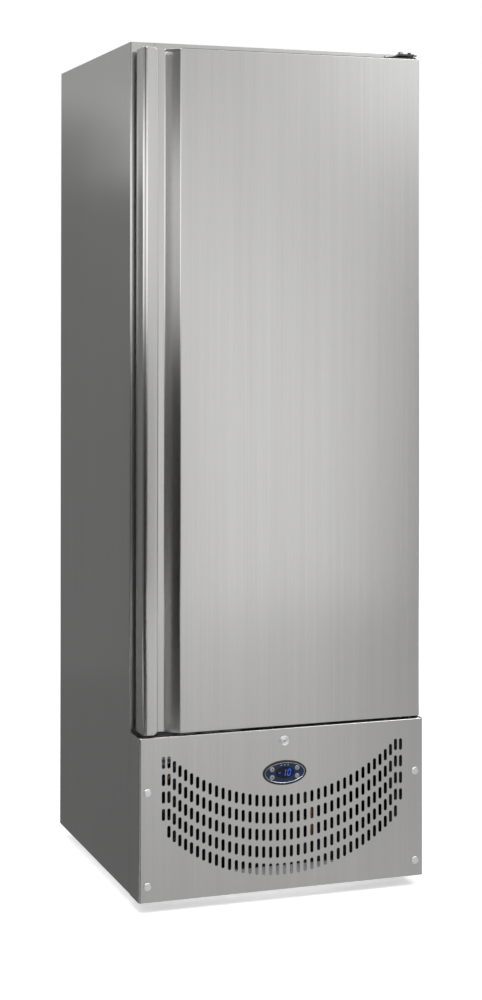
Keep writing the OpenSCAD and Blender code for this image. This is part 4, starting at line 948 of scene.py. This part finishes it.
def add_fins(form, low, high, x0, x1, pitch, half):
    """Upright fins of the thickness 2 * half, evenly set between x0 and x1."""
    count = int((x1 - x0) / pitch)
    for i in range(count + 1):
        x = (x0 + x1) / 2 + (i - count / 2) * pitch
        form.block((x - half, low.y, low.z), (x + half, high.y, high.z))


def coil_path(x0, x1, y, z0, pitch, rows):
    """Level tubes joined by return bends."""
    points = []
    for i in range(rows):
        start, end = (x0, x1) if i % 2 == 0 else (x1, x0)
        over = math.copysign(pitch / 2, end - start)
        z = z0 + i * pitch
        points.append((start - over if i else start, y, z))
        points.append((end + over if i < rows - 1 else end, y, z))
    return rounded(points, pitch * 0.49, 7)


def make_condenser():
    x0, x1 = COIL_X, COIL_HIGH.x - COIL_PITCH / 2 - TUBE_R
    path = coil_path(x0, x1, COIL_Y, COIL_LOW.z + COIL_PITCH / 2, COIL_PITCH, COIL_ROWS)
    form = Form().wire(path, TUBE_R, 12)
    add_fins(form, COIL_LOW, COIL_HIGH, x0 + 8 * MM, x1 - 8 * MM, 6 * MM, 0.2 * MM)
    piece("condenser_tubes_and_fins", form, "copper_fin", "cabinet", ["condenser_coil"])


FAN_TIP_R, FAN_HUB_R, FAN_BLADES = 84 * MM, 17 * MM, 5


def fan_form(centre, axis, tip, hub, tall, blades):
    """A hub with a rounded nose and swept, cambered blades that twist towards their tips."""
    form = Form()
    wall = 2 * MM
    form.lathe(centre, axis, [(0, tall), (hub * 0.7, tall), (hub * 0.92, tall * 0.94), (hub, tall * 0.8),
                              (hub, 0), (hub - wall, 0), (hub - wall, tall * 0.7), (0, tall * 0.7)], 48)
    axis = Vector(axis)
    u = axis.orthogonal().normalized()
    v = axis.cross(u)
    for b in range(blades):
        rings = []
        for s in range(9):
            along = s / 8
            r = hub * 0.97 + (tip - hub * 0.97) * along
            pitch = math.radians(40 - 18 * along)
            chord = tip * (0.36 + 0.30 * along - 0.16 * along ** 4)
            lead = 2 * math.pi * b / blades + 0.22 * along ** 2
            line = []
            for side, order in ((1, range(8)), (-1, range(7, -1, -1))):
                for k in order:
                    c = k / 7
                    thick = 0.8 * MM * math.sin(math.pi * min(1, 0.12 + 0.88 * c))
                    bow = 0.10 * chord * 4 * c * (1 - c) + side * thick
                    across = (c - 0.5) * chord
                    turn = lead + (across * math.cos(pitch) + bow * math.sin(pitch)) / r
                    level = tall * 0.45 - across * math.sin(pitch) + bow * math.cos(pitch)
                    out = u * math.cos(turn) + v * math.sin(turn)
                    line.append(Vector(centre) + axis * level + r * out)
            rings.append(line)
        form.loft(rings)
    return form


def make_bay_fan():
    low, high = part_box("condenser_fan")
    mid = middle("condenser_fan")
    wheel = fan_form((mid.x, high.y, mid.z), FRONT, FAN_TIP_R, FAN_HUB_R, high.y - low.y, FAN_BLADES)
    piece("condenser_fan_wheel", wheel, "fan_plastic", "condenser_fan", ["condenser_fan"], smooth=40)
    low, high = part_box("condenser_fan_motor")
    back = high.y
    can = [(0, 0), (24.5, 0), (26, 1.5), (26, 12), (24.6, 12.6), (24.6, 14.4), (26, 15), (26, 40), (24, 43),
           (21, 44), (3, 44), (3, 60), (0, 60)]
    form = Form().lathe((mid.x, back, mid.z), FRONT, mm(can), 44)
    arm_front, reach = back - 24 * MM, (high.z - low.z) / 2
    arm_back, half = arm_front + 2 * MM, 8 * MM
    for side in (-1, 1):
        for front, inner in ((arm_front, 24 * MM), (low.y, reach - 2 * MM)):
            z0, z1 = sorted((mid.z + side * inner, mid.z + side * reach))
            form.block((mid.x - half, front, z0), (mid.x + half, arm_back, z1))
    piece("condenser_motor", form, "dark_metal", "cabinet", ["condenser_fan_motor"], edge=0.4 * MM)


def make_pipes():
    low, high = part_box("filter_drier")
    x, y = (low.x + high.x) / 2, (low.y + high.y) / 2
    can = [(0, 0), (4, 0), (4, 7), (5.5, 10), (9.4, 15), (10.7, 17.4), (11, 19.5), (11, 90.5),
           (10.7, 92.6), (9.4, 95), (5.5, 100), (4, 103), (4, 110), (0, 110)]
    piece("drier_can", Form().lathe((x, y, low.z), UP, mm(can), 32),
          "copper", "cabinet", ["filter_drier"])

    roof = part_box("bay_roof")[0].z
    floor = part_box("base_pan")[0].z + 1.5 * MM
    dome = SHELL_BASE + SHELL_TALL
    hot_x, hot_z = COMP_AT.x - STUB_LEFT, dome + 34 * MM
    inlet_x, inlet_z = COIL_X - 16 * MM, COIL_HIGH.z - COIL_PITCH / 2
    hot = [(hot_x, COMP_AT.y, dome - 2 * MM), (hot_x, COMP_AT.y, hot_z), (inlet_x, COMP_AT.y, hot_z),
           (inlet_x, COIL_Y, hot_z), (inlet_x, COIL_Y, inlet_z), (COIL_X, COIL_Y, inlet_z)]
    drop_x, drop_z, low_z = COIL_X - 8 * MM, COIL_LOW.z + COIL_PITCH / 2, floor + 12 * MM
    liquid = [(COIL_X, COIL_Y, drop_z), (drop_x, COIL_Y, drop_z), (drop_x, COIL_Y, low_z),
              (x, COIL_Y, low_z), (x, y, low_z), (x, y, low.z + 2 * MM)]
    line_x, line_y, under_roof = LINER_HIGH.x - 40 * MM, SIDE_HIGH.y - 30 * MM, roof - 18 * MM
    thin = [(x, y, high.z - 2 * MM), (x, y, under_roof), (line_x, y, under_roof),
            (line_x, line_y, under_roof), (line_x, line_y, roof)]
    cold_x, cold_z, up_x = COMP_AT.x + STUB_RIGHT, dome + 26 * MM, line_x + 18 * MM
    suction = [(cold_x, COMP_AT.y, dome - 2 * MM), (cold_x, COMP_AT.y, cold_z), (up_x, COMP_AT.y, cold_z),
               (up_x, line_y, cold_z), (up_x, line_y, roof)]
    form = Form()
    for path, radius, turn in ((hot, PIPE_R, 14), (liquid, PIPE_R, 6), (thin, PIPE_R * 0.6, 10),
                               (suction, PIPE_R, 10)):
        form.wire(rounded(path, turn * MM, 6), radius, 12)
    piece("copper_pipes", form, "copper", "cabinet", ["refrigerant_pipes"])


# Cold unit under the ceiling

UNIT_LOW, UNIT_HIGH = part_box("evaporator_cover")
UNIT_SHEET, UNIT_BASE, FAN_HOLE_R = 1.5 * MM, UNIT_LOW.z + 4 * MM, 73 * MM
SLIT_ROWS, SLIT_STEP, SLIT_HALF, SLIT_TALL = (30, 44), 32, 11, 6    # millimetres
SLIT_REACH = 7 * SLIT_STEP
COLD_TIP_R, COLD_HUB_R, COLD_FAN_TALL = 67 * MM, 16 * MM, 18 * MM
COLD_AT, COLD_FAN_TOP = middle("evaporator_fan"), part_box("evaporator_fan")[1].z


def make_cold_unit():
    base = UNIT_BASE
    form = Form()
    form.plate(rect_hole(UNIT_LOW.x, UNIT_HIGH.x, UNIT_LOW.y, UNIT_HIGH.y),
               [round_hole(COLD_AT.x, COLD_AT.y, FAN_HOLE_R, 64)], in_xy(base, base + UNIT_SHEET), 0.4 * MM)
    vents = [rect_hole((x - SLIT_HALF) * MM, (x + SLIT_HALF) * MM,
                       base + z * MM, base + (z + SLIT_TALL) * MM)
             for z in SLIT_ROWS for x in range(-SLIT_REACH, SLIT_REACH + 1, SLIT_STEP)]
    side = rect_hole(UNIT_LOW.x, UNIT_HIGH.x, base + UNIT_SHEET, UNIT_HIGH.z)
    form.plate(side, vents, in_xz(UNIT_LOW.y, UNIT_LOW.y + UNIT_SHEET), 0.4 * MM)
    form.plate(side, vents, in_xz(UNIT_HIGH.y, UNIT_HIGH.y - UNIT_SHEET), 0.4 * MM)
    for x in (UNIT_LOW.x, UNIT_HIGH.x - UNIT_SHEET):
        form.block((x, UNIT_LOW.y + UNIT_SHEET, base + UNIT_SHEET),
                   (x + UNIT_SHEET, UNIT_HIGH.y - UNIT_SHEET, UNIT_HIGH.z))
    piece("cold_unit_housing", form, "white_plastic", "cabinet", ["evaporator_cover"])

    guard = Form()
    wire = 1.2 * MM
    level = UNIT_LOW.z + wire
    for r in (20, 34, 48, 62, 76):
        circle = oval(2 * r * MM, 2 * r * MM, 56)
        guard.wire([(COLD_AT.x + p.x, COLD_AT.y + p.y, level) for p in circle], wire, 8, closed=True)
    for k in range(3):
        a = math.pi * k / 3 + 0.3
        spoke = Vector((math.cos(a), math.sin(a), 0))
        reach, seat, bar = 79 * MM - wire, base + wire, level + 2 * wire
        path = [COLD_AT.xy.to_3d() + spoke * s * reach + Vector((0, 0, z))
                for s, z in ((-1, seat), (-0.94, bar), (0.94, bar), (1, seat))]
        guard.wire(rounded(path, 4 * MM, 4), wire, 8)
    piece("cold_fan_guard", guard, "wire_white", "cabinet")

    wheel = fan_form((COLD_AT.x, COLD_AT.y, COLD_FAN_TOP), (0, 0, -1), COLD_TIP_R, COLD_HUB_R,
                     COLD_FAN_TALL, FAN_BLADES)
    piece("cold_fan_wheel", wheel, "fan_plastic", "evaporator_fan", ["evaporator_fan"], smooth=40)
    low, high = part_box("evaporator_fan_motor")
    can = [(0, 0), (22, 0), (24, 2), (24, 33), (22.4, 35.4), (20, 36), (0, 36)]
    motor = Form().lathe((COLD_AT.x, COLD_AT.y, high.z - 38 * MM), UP, mm(can), 44)
    motor.lathe((COLD_AT.x, COLD_AT.y, low.z), UP,
                [(0, 0), (3 * MM, 0), (3 * MM, high.z - 37 * MM - low.z)], 20)
    motor.block((low.x, COLD_AT.y - 9 * MM, high.z - 2 * MM), (high.x, COLD_AT.y + 9 * MM, high.z))
    piece("cold_fan_motor", motor, "dark_metal", "cabinet", ["evaporator_fan_motor"], edge=0.4 * MM)

    low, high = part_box("evaporator_coil")
    pitch, rows = 26 * MM, 3
    coil = Form()
    x0, x1 = low.x + pitch / 2 + TUBE_R, high.x - pitch / 2 - TUBE_R
    back = high.y - 16 * MM
    for y in (back, back - 28 * MM):
        coil.wire(coil_path(x0, x1, y, base + 34 * MM, pitch, rows), TUBE_R, 12)
    add_fins(coil, low, high, x0 + 6 * MM, x1 - 6 * MM, 9 * MM, 0.25 * MM)
    piece("cold_coil", coil, "aluminium", "cabinet", ["evaporator_coil"])


# Storage space

def make_storage():
    wall = 2 * MM
    mouth = LINER_LOW.y

    def ring(d, y, r, low=LINER_LOW, high=LINER_HIGH):
        return frame_ring(low.x + d, high.x - d, low.z + d, high.z - d, r, y, 7)
    inside = [ring(wall, mouth, 12 * MM)]
    for k in range(8):
        a = math.pi / 2 * k / 7
        d, depth = 14 * MM * (1 - math.cos(a)), 14 * MM * (1 - math.sin(a))
        inside.append(ring(wall + d, LINER_HIGH.y - wall - depth, 12 * MM + d))
    outside = [ring(0, mouth, 14 * MM), ring(0, LINER_HIGH.y, 14 * MM)]
    piece("moulded_liner", Form().loft(inside[::-1] + outside), "liner", "cabinet", ["inner_liner"])

    low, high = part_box("breaker_strip")
    lip = 1.2 * MM
    steps = [(0, low.y, 0.5), (wall - lip * 0.35, low.y, 11), (wall, low.y + lip, 12),
             (wall, high.y, 12), (0, high.y, 0.5)]
    rings = [ring(d, y, r * MM, low, high) for d, y, r in steps]
    piece("breaker_frame", Form().loft(rings + rings[:1], caps=False), "white_plastic", "cabinet",
          ["breaker_strip"])
    for level in range(1, 5):
        make_shelf(level)


def make_shelf(level):
    """A shelf of round wires on three rods inside a rounded frame."""
    low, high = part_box("shelf_%d" % level)
    thick, thin = 2.5 * MM, 2.0 * MM
    form = Form()
    x0, x1, y0, y1 = low.x + thick, high.x - thick, low.y + thick, high.y - thick
    border = rounded(rectangle(x0, x1, y0, y1), 9 * MM, 5, closed=True)
    form.wire([(p.x, p.y, high.z - thick) for p in border], thick, 10, closed=True)
    spaces = 24
    for k in range(1, spaces):
        x = x0 + (x1 - x0) * k / spaces
        form.wire([(x, y0, high.z - thin), (x, y1, high.z - thin)], thin, 8)
    posts_low, posts_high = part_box("shelf_pilasters")
    for y in (posts_low.y + 11 * MM, (posts_low.y + posts_high.y) / 2, posts_high.y - 11 * MM):
        form.wire([(low.x + 1 * MM, y, low.z + thick), (high.x - 1 * MM, y, low.z + thick)], thick, 10)
    piece("wire_shelf_%d" % level, form, "wire_white", "cabinet", ["shelf_%d" % level])


# Camera and studio

def set_camera():
    level, rise = Vector((math.sin(TURN), math.cos(TURN), 0)), Vector(UP)
    forward = level * math.cos(TILT) + rise * math.sin(TILT)
    right = Vector((math.cos(TURN), -math.sin(TURN), 0))
    up = rise * math.cos(TILT) - level * math.sin(TILT)
    across = right * math.cos(ROLL) + up * math.sin(ROLL)
    upward = up * math.cos(ROLL) - right * math.sin(ROLL)
    data = bpy.data.cameras.new("camera")
    data.sensor_width, data.lens = 36.0, LENS
    data.shift_x = SHIFT_RIGHT
    data.shift_y = SHIFT_UP
    data.clip_end = 200
    camera = show("camera", data)
    turn = Matrix((across, upward, -forward)).transposed().to_4x4()
    camera.matrix_world = Matrix.Translation(EYE) @ turn
    bpy.context.scene.camera = camera


def grey_ramp(tree, level, stops):
    """A brightness that follows the (place, value) stops."""
    return tree.add("ValToRGB", {0: level}, stops=[(at, (v, v, v)) for at, v in stops])


def stage_sheet(name, half_w, half_h, material):
    """A flat rectangle of the studio, which is no part of the freezer."""
    mesh = bpy.data.meshes.new(name)
    points = [(x, y, 0) for x, y in rectangle(-half_w, half_w, -half_h, half_h)]
    mesh.from_pydata(points, [], [(0, 1, 2, 3)])
    mesh.materials.append(material)
    sheet = show(name, mesh)
    return sheet


def card(name, centre, size, facing, up, near, far=None):
    """A studio card that only shiny surfaces see. near and far are its brightness from the
    bottom to the top, along its right and its left edge as seen from the object."""
    material = bpy.data.materials.new(name)
    tree = Tree(material)
    where = tree.add("TexCoord", out="Generated")
    level, across = (tree.add("SeparateXYZ", {0: where}, out=axis) for axis in "YX")
    tone = tree.blend(across, grey_ramp(tree, level, far or near), grey_ramp(tree, level, near))
    light = tree.add("Emission", {"Color": tone, "Strength": CARD_POWER})
    tree.add("OutputMaterial", {"Surface": light})
    obj = stage_sheet(name, size[0] / 2, size[1] / 2, material)
    facing, up = Vector(facing).normalized(), Vector(up)
    turn = Matrix((up.cross(facing), up, facing)).transposed().to_4x4()
    obj.matrix_world = Matrix.Translation(centre) @ turn
    obj.visible_camera = obj.visible_diffuse = obj.visible_shadow = False


def softbox(name, place, watts):
    """A square lamp turned to the middle of the freezer, which the camera doesn't see."""
    data = bpy.data.lights.new(name, "AREA")
    data.shape, data.size, data.size_y, data.energy = "RECTANGLE", LAMP_SIZE, LAMP_SIZE, watts
    lamp = show(name, data)
    lamp.location = place
    lamp.rotation_euler = (LAMP_TARGET - Vector(place)).to_track_quat("-Z", "Y").to_euler()
    lamp.visible_camera = False


def seen_directly(tree):
    """1 for what the camera or a shiny or clear surface looks at, and 0 for what only lights."""
    seen = tree.add("LightPath", out="Is Camera Ray") | tree.add("LightPath", out="Is Glossy Ray")
    return seen | tree.add("LightPath", out="Is Transmission Ray")


def set_studio():
    bpy.context.scene.view_settings.view_transform = "Standard"
    world = bpy.data.worlds.new("studio")
    bpy.context.scene.world = world
    tree = Tree(world)
    strength = seen_directly(tree) * (1 - AMBIENT) + AMBIENT
    sky = tree.add("Background", {"Color": (1, 1, 1, 1), "Strength": strength})
    tree.add("OutputWorld", {"Surface": sky})

    material = bpy.data.materials.new("pale_floor")
    tree = Tree(material)
    matt = tree.add("BsdfPrincipled", {
        "Base Color": tree.blend(tree.noise((0.8, 0.8, 0.8)), (0.86, 0.86, 0.86), (0.88, 0.88, 0.88)),
        "Roughness": 0.9, "Specular IOR Level": 0.0,
        "Emission Color": tree.blend(seen_directly(tree), (0, 0, 0), (1, 1, 1)),
        "Emission Strength": FLOOR_GLOW})
    tree.add("OutputMaterial", {"Surface": matt})
    stage_sheet("floor", FLOOR_HALF, FLOOR_HALF, material)
    set_cards()
    softbox("key", (-1.4, -2.8, 4.2), 95)
    softbox("fill", (2.4, -1.8, 4.2), 60)
    softbox("back_fill", (-0.4, 3.4, 3.6), 50)


def set_cards():
    """What the brushed steel mirrors: the walls and the floor of the studio round the object."""
    tall, middle = CARD_TALL, CARD_TALL / 2

    def wall(name, start, end, near, far=None):
        """An upright card over the line from start to end, both (x, y). It faces the freezer."""
        start, end = Vector(start), Vector(end)
        run = end - start
        centre = (start + end) / 2
        card(name, (centre.x, centre.y, middle), (run.length, tall), (-run.y, run.x, 0), UP, near, far)

    def heights(*rows, top):
        """(height in metres, brightness) rows as stops of the card, whose top edge has the
        brightness top."""
        return [(z / tall, v / CARD_POWER) for z, v in rows] + [(1.0, top / CARD_POWER)]

    wall("card_back", (-0.3, 2.4), (-1.22, 2.4),
         heights((0, 0.20), (1.88, 0.20), (1.97, 0.25), (2.10, 0.44), top=0.48))
    wall("card_back_left", (-1.22, 2.4), (-3.0, 2.4),
         heights((0, 0.19), (1.74, 0.20), (1.84, 0.80), (2.02, 0.85), (2.16, 0.50), top=0.50))
    wall("card_left", (-3.0, 2.4), (-3.0, -0.6),
         heights((0, 0.12), (1.18, 0.14), (1.34, 1.40), (1.95, 1.95), (2.15, 0.40), top=0.30))
    wall("card_left_front", (-3.0, -0.6), (-3.0, -3.6),
         heights((0, 0.03), (1.14, 0.04), (1.36, 0.75), (1.88, 0.95), (2.08, 0.20), top=0.06))
    wall("card_front_left", (-3.0, -3.6), (-0.8, -5.4),
         heights((0, 0.06), (1.10, 0.08), (1.34, 1.80), (2.10, 2.00), (2.35, 0.50), top=0.40))
    wall("card_front", (-0.8, -5.4), (0.75, -4.4),
         heights((0, 0.42), (1.00, 0.50), (1.40, 0.95), (2.10, 1.10), top=0.60))
    wall("card_front_right", (0.75, -4.4), (2.05, -4.4),
         heights((0, 1.08), (0.90, 1.12), (1.34, 1.04), (1.90, 0.86), (2.40, 0.52), top=0.50),
         heights((0, 1.28), (0.90, 1.30), (1.34, 1.22), (1.90, 1.02), (2.40, 1.15), top=1.15))
    wall("card_right_front", (2.05, -4.4), (4.4, -3.0),
         heights((0, 0.16), (1.30, 0.34), (1.90, 0.68), (2.40, 1.50), top=1.50))
    wall("card_right", (4.4, -3.0), (4.4, -0.6),
         heights((0, 0.05), (1.10, 0.05), (1.40, 1.40), (2.10, 1.50), (2.40, 0.30), top=0.30))

    def board(name, start, run, width, near, far):
        """A flat card on the floor, from start along run, with width to its right."""
        start, run = Vector(start), Vector(run)
        middle = start + run / 2 + Vector((run.y, -run.x)).normalized() * (width / 2)
        card(name, (middle.x, middle.y, 4 * MM), (abs(width), run.length), UP, run.normalized().to_3d(),
             [(0, near / CARD_POWER), (1, far / CARD_POWER)])

    board("board_back_left", (-2.6, -0.35), (0, 2.75), 2.255, 0.17, 0.18)
    board("board_left", (-0.36, -0.36), (0, -3.2), 2.6, 0.06, 0.05)
    board("board_front", (0.08, -0.12), (1.74, -4.34), 2.2, 0.60, 0.97)
    board("board_right_front", (0.08, -0.12), (1.74, -4.34), -2.2, 0.62, 0.42)


# The whole

def make_pieces():
    make_door()
    make_cover()
    make_lock()
    make_controller()
    make_keys()
    make_hinge_screws()
    make_feet()
    make_back_screws()
    make_louvres()
    make_compressor()
    make_condenser()
    make_bay_fan()
    make_pipes()
    make_cold_unit()
    make_storage()


def dress_frame():
    """Gives every CAD node the finish of its slot and softens its edges. Nodes that no piece
    stands for are seen like this."""
    for row in frame["record"]["subparts"]:
        node = frame["nodes"][row["node"]]
        slot = row["material_slot"]
        node.data.materials.clear()
        node.data.materials.append(FINISHES[slot])
        joined = node.modifiers.new("join", "WELD")
        joined.merge_threshold = 1e-6
        flat = node.modifiers.new("flat_faces", "DECIMATE")
        flat.decimate_type, flat.angle_limit = "DISSOLVE", math.radians(0.5)
        soften(node, 0.35 * MM)


set_camera()
set_studio()
dress_frame()
make_pieces()
